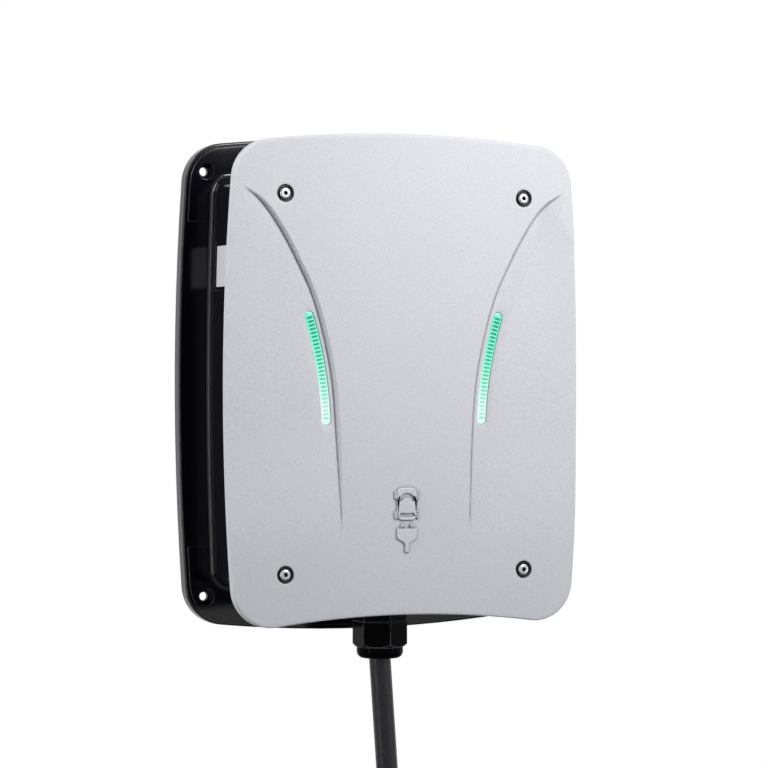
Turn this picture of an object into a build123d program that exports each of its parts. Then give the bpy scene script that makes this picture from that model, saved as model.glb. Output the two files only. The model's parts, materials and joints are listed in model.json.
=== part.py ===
from build123d import *
import os
from math import asin, cos, degrees, pi, radians, sin, sqrt, tan

os.makedirs("parts", exist_ok=True)

# Wall-mounted car charger: a black moulded box with a wide wall flange, a silver front panel held
# off it on four spacers, two curved status lights, and a charging lead that leaves by a bottom gland.
# Millimetres. X is to the right, Z is up and Y goes into the wall, whose face is y = 0.
# The origin is the middle of the four wall holes. Depth means the distance out from the wall.

# Wall flange
overall_width = 295.0
overall_height = 386.0
flange_side_bow = 7.6
flange_end_bow = 9.0
flange_corner_radius = 32.0
flange_depth = 10.0
flange_edge_radius = 1.4
wall = 3.0
pad_height = 0.5
pad_inset = 3.5
pad_end_span = 67.0
pad_gap = 1.0
rib_thickness = 2.0
rib_count_side = 5
rib_count_end = 3
rib_pitch = 42.0

# Wall holes
hole_side_inset = 22.5
hole_end_inset = 28.0
hole_diameter = 6.6
recess_diameter = 12.8
recess_floor = 3.5
hole_boss_diameter = 19.0

# Box behind the panel
box_side_margin = 25.0
box_top_margin = 30.0
box_bottom_margin = 33.0
box_side_bow = 3.8
box_end_bow = 4.0
box_corner_radius = 13.0
box_rim_depth = 88.0
cover_height = 10.0
box_base_radius = 3.5
ledge_width = 9.0
ledge_thickness = 8.0
cover_edge_radius = 2.0

# Cover seal
seal_inset = 3.2
seal_width = 3.0
seal_thickness = 2.0
seal_side_clearance = 0.1

# Cover screws
cover_screw_diameter = 4.0
cover_screw_length = 24.0
cover_screw_head_diameter = 8.0
cover_screw_head_height = 2.6
cover_boss_diameter = 9.0
cover_boss_inset = 13.5
cover_screw_side_drop = 53.0
cover_screw_end_share = 0.4082
screw_clearance = 0.2
thread_clearance = 0.05

# Front panel
panel_side_margin = 2.0
panel_top_margin = 2.3
panel_bottom_margin = 17.0
panel_side_bow = 7.6
panel_top_bow = 9.5
panel_bottom_hollow = 12.0
panel_corner_radius = 31.0
panel_standoff = 14.0
panel_thickness = 2.0
panel_return = 8.0
panel_edge_radius = 1.9

# Side wings of the panel, pressed back behind a crease that runs up each side of the middle field.
# Each crease point is its distance in from the panel's side, as a share of the panel's half width,
# and its height, as a share of half the overall height.
crease_shares = [
    (0.63849, -0.66839),
    (0.63436, -0.42487),
    (0.61856, -0.12176),
    (0.58557, 0.08549),
    (0.50515, 0.31865),
    (0.40550, 0.48394),
    (0.29897, 0.62435),
    (0.20137, 0.71606),
    (0.07216, 0.77461),
]
wing_depth = 2.7
wing_tilt = 0.8

# Panel screws, spacers and inserts
panel_screw_side_inset = 48.5
panel_screw_end_inset = 49.5
panel_screw_diameter = 5.0
panel_screw_length = 18.0
panel_screw_head_diameter = 9.5
panel_screw_head_height = 2.75
panel_recess_diameter = 13.5
panel_recess_depth = 3.2
panel_washer_thickness = 0.8
panel_washer_clearance = 0.15
spacer_diameter = 12.0
insert_diameter = 7.2
insert_length = 8.0

# Status lights
light_top_share = 0.299
light_bottom_share = -0.1554
light_width = 7.0
light_from_crease = 9.3
light_clearance = 0.3
light_foot_width = 11.0
light_foot_thickness = 3.0
light_rib_pitch = 3.15
light_rib_gap = 1.3
light_rib_depth = 0.5
led_board_thickness = 1.6
led_board_gap = 2.0
led_board_overhang = 8.6
led_size = 3.0
led_height = 1.0
led_count = 8

# Raised sign of a car and a plug, low on the panel
sign_height = 0.7
wheel_width = 1.9
sign_rise = 97.0
car_width = 16.8
car_length = 25.0
plug_gap = 2.7
plug_width = 16.8

# Side label
label_drop = 88.0
label_height = 31.5
label_width = 33.0
label_to_rim = 33.0
label_recess_margin = 3.0
label_recess_depth = 0.8
label_thickness = 0.25

# Charging lead
cable_diameter = 17.0
lead_to_rim = 28.0
conductor_diameter = 4.4
conductor_ring = 5.2
conductor_angles = (162.0, 234.0, 90.0, 306.0, 18.0)
conductor_rise = (4.4, 11.0, 4.4, 11.0, 4.4)
pilot_diameter = 2.4
pilot_rise = 27.0

# Cable gland
gland_boss_diameter = 48.0
gland_boss_length = 15.0
gland_inner_pad = 2.0
gland_thread_diameter = 32.0
gland_bore_diameter = 22.0
gland_thread_clearance = 0.3
gland_washer_thickness = 1.2
gland_washer_diameter = 40.0
gland_flange_flats = 36.0
gland_flange_height = 7.6
gland_cup_diameter = 30.0
gland_cup_length = 14.0
gland_nut_flats = 37.0
gland_nut_height = 19.5
gland_dome_height = 9.0
gland_nut_clearance = 0.25
gland_rubber_diameter = 25.0
gland_rubber_length = 20.0
locknut_flats = 39.0
locknut_height = 7.0

# Rear supply entry
supply_hole_diameter = 32.0
supply_hole_drop = 33.0
grommet_flange_diameter = 40.0
grommet_flange_thickness = 2.0
grommet_membrane = 1.2
grommet_set_back = 0.4

# Circuit board
board_side_margin = 37.5
board_top_margin = 63.0
board_bottom_margin = 94.0
board_depth = 13.0
board_thickness = 1.6
board_post_diameter = 8.0
board_post_inset = 7.0
board_screw_diameter = 3.0
board_screw_length = 9.0
board_screw_head_diameter = 6.0
board_screw_head_height = 2.2

# Lever terminal for the supply
pole_pitch = 12.0
pole_count = 5
terminal_end_wall = 2.0
supply_terminal_share = 0.193
supply_terminal_depth = 28.0
supply_entry_diameter = 3.8
supply_entry_share = 0.625
lever_width = 9.0
lever_side_clearance = 0.3
lever_end_gap = 10.0
lever_thickness = 3.0
lever_barrel_radius = 3.0
lever_pivot_drop = 7.0
lever_pivot_sink = 4.0
lever_slot_depth = 8.0
trunnion_diameter = 2.4
trunnion_clearance = 0.05
trunnion_bite = 0.7

# Screw terminal for the lead
output_terminal_share = 0.145
output_margin_share = 0.036
output_terminal_depth = 20.0
output_entry_height = 11.0
output_entry_length = 10.0
output_screw_diameter = 6.0
output_screw_sink = 5.0

# Electronic pieces on the board; shares are of the board's width or height
relay_shares = (0.2, 0.24)
relay_depth = 29.0
relay_offset_share = 0.118
relay_middle_share = 0.41
power_supply_shares = (0.176, 0.42)
power_supply_depth = 24.0
controller_shares = (0.176, 0.336)
controller_depth = 8.0
controller_riser = 3.0
controller_plate = 1.2
module_side_inset = 12.0
module_middle_share = 0.48
capacitor_share = 0.106
capacitor_length = 30.0
capacitor_gap = 4.0
selector_size = 12.0
selector_height = 6.0
selector_middle_share = 0.783
knob_diameter = 8.0
knob_height = 3.0
knob_shaft_diameter = 3.0
knob_shaft_length = 3.5
knob_shaft_clearance = 0.05
knob_face_clearance = 0.3

# Cable cradle, strain clamp and current sensor, counted up from the box's inner bottom
cradle_start = 17.0
cradle_height = 10.0
cradle_width = 46.0
cradle_wall = 4.0
clamp_thickness = 4.5
clamp_screw_diameter = 3.5
clamp_screw_length = 20.0
clamp_screw_inset = 6.0
sheath_end = 33.0
sensor_start = 50.0
sensor_height = 12.0
sensor_outer_diameter = 40.0
sensor_bore_diameter = 20.0
sensor_foot_width = 28.0

# Coil of the lead, wound neatly below the charger
cable_slope = 0.0705
coil_turn_height = -350.0
coil_radius = 102.0
coil_strands = 8
coil_strand_ring = 22.7
coil_section_radius = 31.5
coil_start_angle = 45.0
coil_start_phase = 20.0
coil_turns = 7.125
tie_width = 20.0
tie_thickness = 1.5
tie_angles = (300.0, 180.0)
tail_length = 86.0

# Vehicle connector on the lead's end
boot_length = 36.0
boot_small_diameter = 22.0
boot_large_diameter = 29.0
boot_groove_count = 5
shell_wall = 3.0
shell_throat = 12.0
shell_length = 112.0
grip_width = 38.0
grip_depth = 44.0
head_diameter = 65.0
head_length = 24.0
carrier_diameter = 54.6
carrier_seat = 20.0
carrier_reach = 32.0
carrier_flat = 4.5
carrier_wall = 2.6
plate_thickness = 8.0
sleeve_wall = 2.0
signal_sleeve_wall = 1.5
sleeve_set_back = 1.0
contact_diameter = 9.0
contact_bore = 6.0
contact_length = 40.0
contact_depth = 30.0
contact_set_back = 3.0
contact_circle = 17.0
signal_diameter = 5.4
signal_bore = 3.0
shell_screw_diameter = 3.0
shell_screw_head_diameter = 5.6
shell_screw_sink = 3.0
cap_clearance = 0.3
cap_wall = 2.6
cap_rib_count = 18
cap_rib_size = 1.4

# Worked-out heights and widths
half_width = overall_width / 2
half_height = overall_height / 2
hole_spacing_x = overall_width - 2 * hole_side_inset
hole_spacing_z = overall_height - 2 * hole_end_inset
pad_start_z = half_height - pad_end_span
box_front_depth = box_rim_depth + cover_height
panel_depth = box_front_depth + panel_standoff
cable_depth = box_rim_depth - lead_to_rim
box_half_width = half_width - box_side_margin
box_top = half_height - box_top_margin
box_bottom = -half_height + box_bottom_margin
inner_bottom = box_bottom + wall
cover_screw_side_z = box_top - cover_screw_side_drop
cover_screw_end_x = box_half_width * cover_screw_end_share
label_bottom_z = box_top - label_drop
label_front_depth = box_rim_depth - label_to_rim
panel_half_width = half_width - panel_side_margin
panel_top = half_height - panel_top_margin
panel_bottom = -half_height + panel_bottom_margin
crease_points = [(inward * panel_half_width, height * half_height) for inward, height in crease_shares]
light_top_z = half_height * light_top_share
light_bottom_z = half_height * light_bottom_share
car_top_z = panel_bottom + sign_rise
plug_top_z = car_top_z - car_length - plug_gap
panel_screw_x = half_width - panel_screw_side_inset
panel_screw_z = half_height - panel_screw_end_inset
board_half_width = box_half_width - board_side_margin
board_top = box_top - board_top_margin
board_bottom = box_bottom + board_bottom_margin
board_face = board_depth + board_thickness
board_width = 2 * board_half_width
board_height = board_top - board_bottom
supply_terminal_height = board_height * supply_terminal_share
lever_length = supply_terminal_height - lever_end_gap
output_terminal_height = board_height * output_terminal_share
output_low = board_bottom + board_height * output_margin_share
relay_width, relay_height = board_width * relay_shares[0], board_height * relay_shares[1]
power_supply_width = board_width * power_supply_shares[0]
power_supply_height = board_height * power_supply_shares[1]
controller_width = board_width * controller_shares[0]
controller_height = board_height * controller_shares[1]
module_middle_z = board_bottom + board_height * module_middle_share
capacitor_diameter = board_width * capacitor_share
selector_middle_z = board_bottom + board_height * selector_middle_share
cable_radius = cable_diameter / 2
on_base = (Align.CENTER, Align.CENTER, Align.MIN)


def facing(x, z, depth):
    # a plane that faces the viewer, at a place on the object
    return Plane(origin=(x, -depth, z), x_dir=(1, 0, 0), z_dir=(0, -1, 0))


def slab(outline, back, face):
    # an outline drawn in X and Z, solid from one depth to another
    return extrude(facing(0, 0, back) * outline, face - back)


def post(x, z, diameter, back, face):
    return facing(x, z, back) * Cylinder(diameter / 2, face - back, align=on_base)


def block(x, z, width, height, back, face):
    # a box by its middle in X and Z and its two depths
    return facing(x, z, back) * Box(width, height, face - back, align=on_base)


def upright(x, depth, diameter, low, high):
    # a round bar along Z
    return Location((x, -depth, low)) * Cylinder(diameter / 2, high - low, align=on_base)


def upright_hex(x, depth, flats, low, high, turn=30):
    # a hexagonal bar along Z; a turn of 30 degrees puts one corner to the front
    outline = RegularPolygon(flats / sqrt(3), 6, rotation=turn)
    return extrude(Location((x, -depth, low)) * outline, high - low)


def bowed_outline(mid_x, corner_x, top, corner_top, bottom, corner_bottom, radius):
    # four shallow arcs with rounded corners; a bottom above its corners is hollow
    arcs = [
        ThreePointArc((-corner_x, corner_top), (0, top), (corner_x, corner_top)),
        ThreePointArc((corner_x, corner_top), (mid_x, 0), (corner_x, corner_bottom)),
        ThreePointArc((corner_x, corner_bottom), (0, bottom), (-corner_x, corner_bottom)),
        ThreePointArc((-corner_x, corner_bottom), (-mid_x, 0), (-corner_x, corner_top)),
    ]
    return fillet(make_face(arcs).vertices(), radius)


def flange_outline(inset=0.0):
    x = half_width - inset
    z = half_height - inset
    corner_z = z - flange_end_bow
    return bowed_outline(x, x - flange_side_bow, z, corner_z, -z, -corner_z, flange_corner_radius - inset)


def box_outline(inset=0.0):
    x = box_half_width - inset
    top = box_top - inset
    bottom = box_bottom + inset
    radius = max(box_corner_radius - inset, 1.5)
    return bowed_outline(x, x - box_side_bow, top, top - box_end_bow, bottom, bottom + box_end_bow, radius)


def panel_outline(inset=0.0):
    x = panel_half_width - inset
    top = panel_top - inset
    bottom = panel_bottom + inset
    return bowed_outline(
        x, x - panel_side_bow, top, top - panel_top_bow,
        bottom, bottom - panel_bottom_hollow, panel_corner_radius - inset,
    )


def ring(outline, outer_inset, inner_inset, back, face):
    return slab(outline(outer_inset), back, face) - slab(outline(inner_inset), back, face)


def four_corners(x, z):
    return [(side * x, end * z) for side in (-1, 1) for end in (-1, 1)]


def cover_screw_places():
    x = box_half_width - cover_boss_inset
    top = box_top - cover_boss_inset
    bottom = box_bottom + cover_boss_inset
    sides = [(side * x, z) for side in (-1, 1) for z in (-cover_screw_side_z, cover_screw_side_z)]
    ends = [(side * cover_screw_end_x, z) for side in (-1, 1) for z in (bottom, top)]
    return sides + ends


def board_screw_places():
    x = board_half_width - board_post_inset
    low = board_bottom + board_post_inset
    high = board_top - board_post_inset
    return [(side * x, z) for side in (-1, 1) for z in (low, (low + high) / 2, high)]


def clamp_screw_places():
    x = cradle_width / 2 - clamp_screw_inset
    z = inner_bottom + cradle_start + cradle_height / 2
    return [(-x, z), (x, z)]


def pan_screw(x, z, seat, diameter, length, head_diameter, head_height, thread_gap=0.0):
    # a plain screw with a flat-topped head and a cross slot
    shank = post(x, z, diameter - 2 * thread_gap, seat - length, seat)
    head = post(x, z, head_diameter, seat, seat + head_height)
    head = fillet(head.edges().filter_by(GeomType.CIRCLE).sort_by(Axis.Y)[0], head_height * 0.35)
    slot_depth = head_height * 0.5
    slot = block(x, z, head_diameter * 0.55, head_height * 0.4, seat + slot_depth, seat + head_height)
    cross = block(x, z, head_height * 0.4, head_diameter * 0.55, seat + slot_depth, seat + head_height)
    return shank + head - slot - cross


def back_housing():
    lift = pad_height
    outer = slab(flange_outline(), 0, flange_depth)
    front_rim = outer.edges().filter_by(lambda edge: abs(edge.center().Y + flange_depth) < 0.01)
    outer = fillet(front_rim, flange_edge_radius)
    box = slab(box_outline(), 0, box_rim_depth)
    shell = outer + box
    base = shell.edges().filter_by(
        lambda edge: abs(edge.center().Y + flange_depth) < 0.01
        and abs(edge.center().X) < box_half_width + 1
        and -half_height + box_bottom_margin - 1 < edge.center().Z < box_top + 1
        and edge.bounding_box().size.Y < 0.01
    )
    shell = fillet(base, box_base_radius)
    pads = slab(flange_outline(pad_inset), flange_depth - 1, flange_depth + lift)
    pads -= slab(box_outline(-box_base_radius - pad_gap), flange_depth - 1, flange_depth + lift)
    pads -= block(0, 0, overall_width, 2 * pad_start_z, flange_depth - 1, flange_depth + lift)
    shell += pads
    shell -= slab(box_outline(wall), wall, box_rim_depth)
    channel = slab(flange_outline(wall), 0, flange_depth - wall)
    channel -= slab(box_outline(), 0, flange_depth - wall)
    for i in range(rib_count_side):
        z = (i - (rib_count_side - 1) / 2) * rib_pitch
        channel -= block(0, z, overall_width, rib_thickness, 1, flange_depth - wall)
    for i in range(rib_count_end):
        x = (i - (rib_count_end - 1) / 2) * rib_pitch
        channel -= block(x, 0, rib_thickness, overall_height, 1, flange_depth - wall)
    for x, z in four_corners(hole_spacing_x / 2, hole_spacing_z / 2):
        channel -= post(x, z, hole_boss_diameter, 0, flange_depth - wall)
    shell -= channel
    shell += ring(box_outline, wall - 0.5, ledge_width, box_rim_depth - ledge_thickness, box_rim_depth)
    for x, z in cover_screw_places():
        shell += post(x, z, cover_boss_diameter, wall - 1, box_rim_depth)
    for x, z in board_screw_places():
        shell += post(x, z, board_post_diameter, wall - 1, board_depth)
    shell += cable_cradle()
    boss_low = box_bottom - gland_boss_length
    shell += upright(0, cable_depth, gland_boss_diameter, boss_low, inner_bottom + gland_inner_pad)
    for x, z in four_corners(hole_spacing_x / 2, hole_spacing_z / 2):
        shell -= post(x, z, hole_diameter, 0, flange_depth + lift)
        shell -= post(x, z, recess_diameter, recess_floor, flange_depth + lift)
    for x, z in cover_screw_places():
        reach = cover_screw_length + 2
        shell -= post(x, z, cover_screw_diameter, box_front_depth - reach, box_rim_depth)
    for x, z in board_screw_places():
        shell -= post(x, z, board_screw_diameter, board_face - board_screw_length - 1, board_depth)
    for x, z in clamp_screw_places():
        low = cable_depth + cable_radius + clamp_thickness - clamp_screw_length - 1
        shell -= post(x, z, clamp_screw_diameter, low, cable_depth)
    seal_inner = seal_inset + seal_width + 2 * seal_side_clearance
    shell -= ring(box_outline, seal_inset, seal_inner, box_rim_depth - seal_thickness, box_rim_depth)
    bore = gland_thread_diameter + 2 * gland_thread_clearance
    shell -= upright(0, cable_depth, bore, boss_low, inner_bottom + gland_inner_pad)
    shell -= post(0, box_top - supply_hole_drop, supply_hole_diameter, 0, wall)
    shell -= label_strip(0, label_recess_depth, label_recess_margin)
    return shell


def cable_cradle():
    # a hollow pedestal with a half-round seat for the lead
    low = inner_bottom + cradle_start
    middle = low + cradle_height / 2
    cradle = block(0, middle, cradle_width, cradle_height, wall - 1, cable_depth)
    gap = cradle_width - 4 * cradle_wall - 2 * clamp_screw_inset
    seat_bottom = cable_depth - cable_radius - cradle_wall
    cradle -= block(0, middle, gap, cradle_height - 2 * rib_thickness, wall, seat_bottom)
    return cradle - upright(0, cable_depth, cable_diameter, low, low + cradle_height)


def label_strip(outer, inner, margin):
    # a thin sheet on the box's left side wall, between two insets from its outline
    sheet = ring(box_outline, outer, inner, 0, box_rim_depth)
    width = label_width + 2 * margin
    middle_z = label_bottom_z + label_height / 2
    middle_depth = label_front_depth - label_width / 2
    window = Location((-box_half_width, -middle_depth, middle_z)) * Box(
        box_side_bow * 4, width, label_height + 2 * margin
    )
    return sheet & window


def side_label():
    return label_strip(label_recess_depth - label_thickness, label_recess_depth, 0)


def cover_seal():
    inset = seal_inset + seal_side_clearance
    return ring(box_outline, inset, inset + seal_width, box_rim_depth - seal_thickness, box_rim_depth)


def light_arc(side, extra=0.0):
    # the middle line of a status light, which keeps its distance from the crease
    half = light_width / 2 - extra
    heights = (light_bottom_z + half, (light_bottom_z + light_top_z) / 2, light_top_z - half)
    points = []
    for height in heights:
        place, sideways = crease_at(height)
        point = place + sideways * light_from_crease
        points.append((side * point.X, point.Y))
    return ThreePointArc(*points)


def light_slot(side, width, extra=0.0):
    return SlotArc(light_arc(side, extra), width)


def stake_places(side):
    arc = light_arc(side, led_board_overhang)
    return [(point.X, point.Y) for point in (arc @ 0, arc @ 1)]


def housing_cover():
    cover = slab(box_outline(), box_rim_depth, box_front_depth)
    rim = cover.edges().filter_by(lambda edge: abs(edge.center().Y + box_front_depth) < 0.01)
    cover = fillet(rim, cover_edge_radius)
    cover -= slab(box_outline(wall), box_rim_depth, box_front_depth - wall)
    cover += ring(box_outline, wall - 0.5, ledge_width, box_rim_depth, box_rim_depth + wall)
    for x, z in cover_screw_places():
        cover += post(x, z, cover_boss_diameter, box_rim_depth, box_front_depth - 1)
    for x, z in four_corners(panel_screw_x, panel_screw_z):
        cover += post(x, z, spacer_diameter, box_rim_depth, box_front_depth - 1)
    board_seat = led_board_seat()
    for side in (-1, 1):
        for x, z in stake_places(side):
            cover += post(x, z, light_foot_width / 2, board_seat, box_front_depth - 1)
            cover += post(x, z, light_foot_width / 5, board_seat - led_board_thickness - 1, board_seat)
    for x, z in cover_screw_places():
        hole = cover_screw_diameter + 2 * screw_clearance
        cover -= post(x, z, hole, box_rim_depth, box_front_depth)
    for x, z in four_corners(panel_screw_x, panel_screw_z):
        cover -= post(x, z, insert_diameter, box_front_depth - insert_length, box_front_depth)
    for side in (-1, 1):
        slot = light_slot(side, light_width + 2 * light_clearance)
        cover -= slab(slot, box_front_depth - wall - 1, box_front_depth)
    return cover


def led_board_seat():
    foot_back = box_front_depth - wall - light_foot_thickness
    return foot_back - led_board_gap


def crease_line(shift=0.0):
    points = [(panel_half_width - inward, height) for inward, height in crease_points]
    line = Spline(*points)
    if shift == 0:
        return line
    count = len(points)
    moved = []
    for i in range(count):
        u = i / (count - 1)
        tangent = line % u
        moved.append((line @ u) + Vector(tangent.Y, -tangent.X) * shift)
    return Spline(*[(point.X, point.Y) for point in moved])


def crease_at(height):
    # the crease's point at a height, and the direction that leads from it into the wing
    line = crease_line()
    low, high = 0.0, 1.0
    for _ in range(40):
        middle = (low + high) / 2
        if (line @ middle).Y < height:
            low = middle
        else:
            high = middle
    tangent = line % low
    return line @ low, Vector(tangent.Y, -tangent.X)


def wing_face(shift, depth):
    line = crease_line(shift)
    foot, tip = line @ 0, line @ 1
    far = panel_half_width + 20
    sides = Polyline((tip.X, tip.Y), (far, tip.Y), (far, foot.Y), (foot.X, foot.Y))
    return facing(0, 0, depth) * make_face([line] + list(sides.edges()))


def wing_cut():
    # what is pressed away beside the right crease: sloping at the crease, dished along its length
    slope = wing_depth + 0.5
    sloped = loft([wing_face(slope, panel_depth - slope), wing_face(-1, panel_depth + 1)], ruled=True)
    heights = [height for inward, height in crease_points]
    top, bottom = max(heights), min(heights)
    middle = (top + bottom) / 2
    deepest = panel_depth - wing_depth
    front = panel_depth + wing_depth
    arc = ThreePointArc((-panel_depth, bottom), (-deepest, middle), (-panel_depth, top))
    ends = Polyline((-panel_depth, top), (-front, top), (-front, bottom), (-panel_depth, bottom))
    profile = Plane.YZ * make_face([arc] + list(ends.edges()))
    dish = extrude(profile, overall_width)
    pivot = Location((panel_half_width - crease_points[3][0], -panel_depth, 0))
    turned = pivot * Rotation(0, 0, -wing_tilt) * pivot.inverse()
    return sloped & (turned * dish)


def panel_form(inset, back):
    # the panel's outer form, or the same form a sheet's thickness further in
    face = panel_depth - inset
    form = slab(panel_outline(inset), back, face)
    if inset == 0:
        rim = form.edges().filter_by(lambda edge: abs(edge.center().Y + face) < 0.01)
        form = fillet(rim, panel_edge_radius)
    cut = Location((0, inset, 0)) * wing_cut()
    return form - cut - mirror(cut, Plane.YZ)


def car_window(half_top, side_top, middle_top, half_low, side_low, middle_low):
    # a window of the car on the sign, between two shallow arcs
    return make_face([
        ThreePointArc((-half_top, side_top), (0, middle_top), (half_top, side_top)),
        Line((half_top, side_top), (half_low, side_low)),
        ThreePointArc((half_low, side_low), (0, middle_low), (-half_low, side_low)),
        Line((-half_low, side_low), (-half_top, side_top)),
    ])


def sign_outline():
    # a generic car seen from above, with a plug below it
    half = car_width / 2
    top, length = car_top_z, car_length
    sign = Pos(0, top - length / 2) * RectangleRounded(car_width, length, half * 0.55)
    sign -= car_window(
        half * 0.82, top - length * 0.34, top - length * 0.18,
        half * 0.64, top - length * 0.42, top - length * 0.3,
    )
    sign -= car_window(
        half * 0.64, top - length * 0.78, top - length * 0.8,
        half * 0.78, top - length * 0.86, top - length * 0.9,
    )
    for side in (-1, 1):
        for middle in (top - length * 0.23, top - length * 0.84):
            wheel = Rectangle(wheel_width + 0.6, length / 4)
            sign += Pos(side * (half + wheel_width / 2 - 0.3), middle) * wheel
    plug_half = plug_width / 2
    shoulder = plug_top_z - 3.3
    side_end = shoulder - 7.6
    neck_top = side_end - 3.6
    neck_end = neck_top - 7.4
    neck = 1.9
    corners = [
        (-plug_half, shoulder), (plug_half, shoulder), (plug_half, side_end), (neck, neck_top),
        (neck, neck_end), (-neck, neck_end), (-neck, neck_top), (-plug_half, side_end),
    ]
    sign += make_face(Polyline(*corners, close=True))
    for side in (-1, 1):
        middle = (plug_top_z + shoulder) / 2
        sign += Pos(side * plug_half * 0.45, middle) * Rectangle(3.0, plug_top_z - shoulder + 0.2)
    return sign


def front_panel():
    back = panel_depth - panel_return
    panel = panel_form(0, back)
    hollow = panel_form(panel_thickness, back)
    seat = panel_depth - panel_recess_depth
    cup_diameter = panel_recess_diameter + 2 * panel_thickness
    for x, z in four_corners(panel_screw_x, panel_screw_z):
        hollow -= post(x, z, cup_diameter, seat - panel_thickness, panel_depth)
    panel -= hollow
    for x, z in four_corners(panel_screw_x, panel_screw_z):
        panel += post(x, z, cup_diameter, seat - panel_thickness, panel_depth - panel_thickness)
        panel -= post(x, z, panel_recess_diameter, seat, panel_depth)
        panel -= post(x, z, panel_screw_diameter + 2 * screw_clearance, seat - panel_thickness, seat)
    for side in (-1, 1):
        slot = light_slot(side, light_width + 2 * light_clearance)
        panel -= slab(slot, back, panel_depth)
    return panel + slab(sign_outline(), panel_depth - 0.5, panel_depth + sign_height)


def light_guide(side, outer_form):
    bar = slab(light_slot(side, light_width), box_front_depth - wall, panel_depth) & outer_form
    foot_back = box_front_depth - wall - light_foot_thickness
    guide = bar + slab(light_slot(side, light_foot_width), foot_back, box_front_depth - wall)
    arc = light_arc(side)
    count = int(arc.length / light_rib_pitch)
    for i in range(count + 1):
        u = (i + 0.5) / (count + 1)
        place, along = arc @ u, arc % u
        face_depth = wing_surface_depth(place.Y)
        groove = Box(light_width + 2, light_rib_gap, 4, align=on_base)
        turn = degrees(asin(along.X))
        guide -= facing(place.X, place.Y, face_depth - light_rib_depth) * Rotation(0, 0, -turn) * groove
    return guide


def wing_surface_depth(height):
    # how far out the wing's surface stands near the crease at a height
    heights = [value for inward, value in crease_points]
    middle = (max(heights) + min(heights)) / 2
    half = (max(heights) - min(heights)) / 2
    return panel_depth - wing_depth * (1 - ((height - middle) / half) ** 2)


def led_board(side):
    seat = led_board_seat()
    board = slab(light_slot(side, light_foot_width, led_board_overhang), seat - led_board_thickness, seat)
    for x, z in stake_places(side):
        board -= post(x, z, light_foot_width / 5 + 2 * thread_clearance, seat - led_board_thickness, seat)
    arc = light_arc(side)
    for i in range(led_count):
        place = arc @ ((i + 0.5) / led_count)
        board += block(place.X, place.Y, led_size, led_size, seat, seat + led_height)
    return board


def panel_spacers():
    seat = panel_depth - panel_recess_depth - panel_thickness
    pieces = []
    for x, z in four_corners(panel_screw_x, panel_screw_z):
        tube = post(x, z, spacer_diameter, box_front_depth, seat)
        bore = panel_screw_diameter + 2 * screw_clearance
        pieces.append(tube - post(x, z, bore, box_front_depth, seat))
    return Compound(children=pieces)


def panel_inserts():
    pieces = []
    for x, z in four_corners(panel_screw_x, panel_screw_z):
        tube = post(x, z, insert_diameter, box_front_depth - insert_length, box_front_depth)
        bore = panel_screw_diameter + 2 * thread_clearance
        pieces.append(tube - post(x, z, bore, box_front_depth - insert_length, box_front_depth))
    return Compound(children=pieces)


def panel_washers():
    seat = panel_depth - panel_recess_depth
    outer = panel_recess_diameter - 2 * panel_washer_clearance
    bore = panel_screw_diameter + 2 * screw_clearance
    pieces = []
    for x, z in four_corners(panel_screw_x, panel_screw_z):
        washer = post(x, z, outer, seat, seat + panel_washer_thickness)
        pieces.append(washer - post(x, z, bore, seat, seat + panel_washer_thickness))
    return Compound(children=pieces)


def panel_screws():
    seat = panel_depth - panel_recess_depth + panel_washer_thickness
    socket = Circle(1.5)
    for i in range(6):
        socket += Pos(1.55 * cos(i * pi / 3), 1.55 * sin(i * pi / 3)) * Circle(0.45)
    radius, height = panel_screw_head_diameter / 2, panel_screw_head_height
    pieces = []
    for x, z in four_corners(panel_screw_x, panel_screw_z):
        shank = post(x, z, panel_screw_diameter, seat - panel_screw_length, seat)
        head = post(x, z, panel_screw_head_diameter, seat, seat + height)
        front_edge = head.edges().filter_by(GeomType.CIRCLE).sort_by(Axis.Y)[0]
        head = fillet(front_edge, min(radius * 0.45, height * 0.8))
        head -= extrude(facing(x, z, seat + height * 0.45) * socket, height)
        pieces.append(shank + head)
    return Compound(children=pieces)


def cover_screws():
    pieces = []
    for x, z in cover_screw_places():
        pieces.append(pan_screw(
            x, z, box_front_depth, cover_screw_diameter, cover_screw_length,
            cover_screw_head_diameter, cover_screw_head_height, thread_clearance,
        ))
    return Compound(children=pieces)


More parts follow.
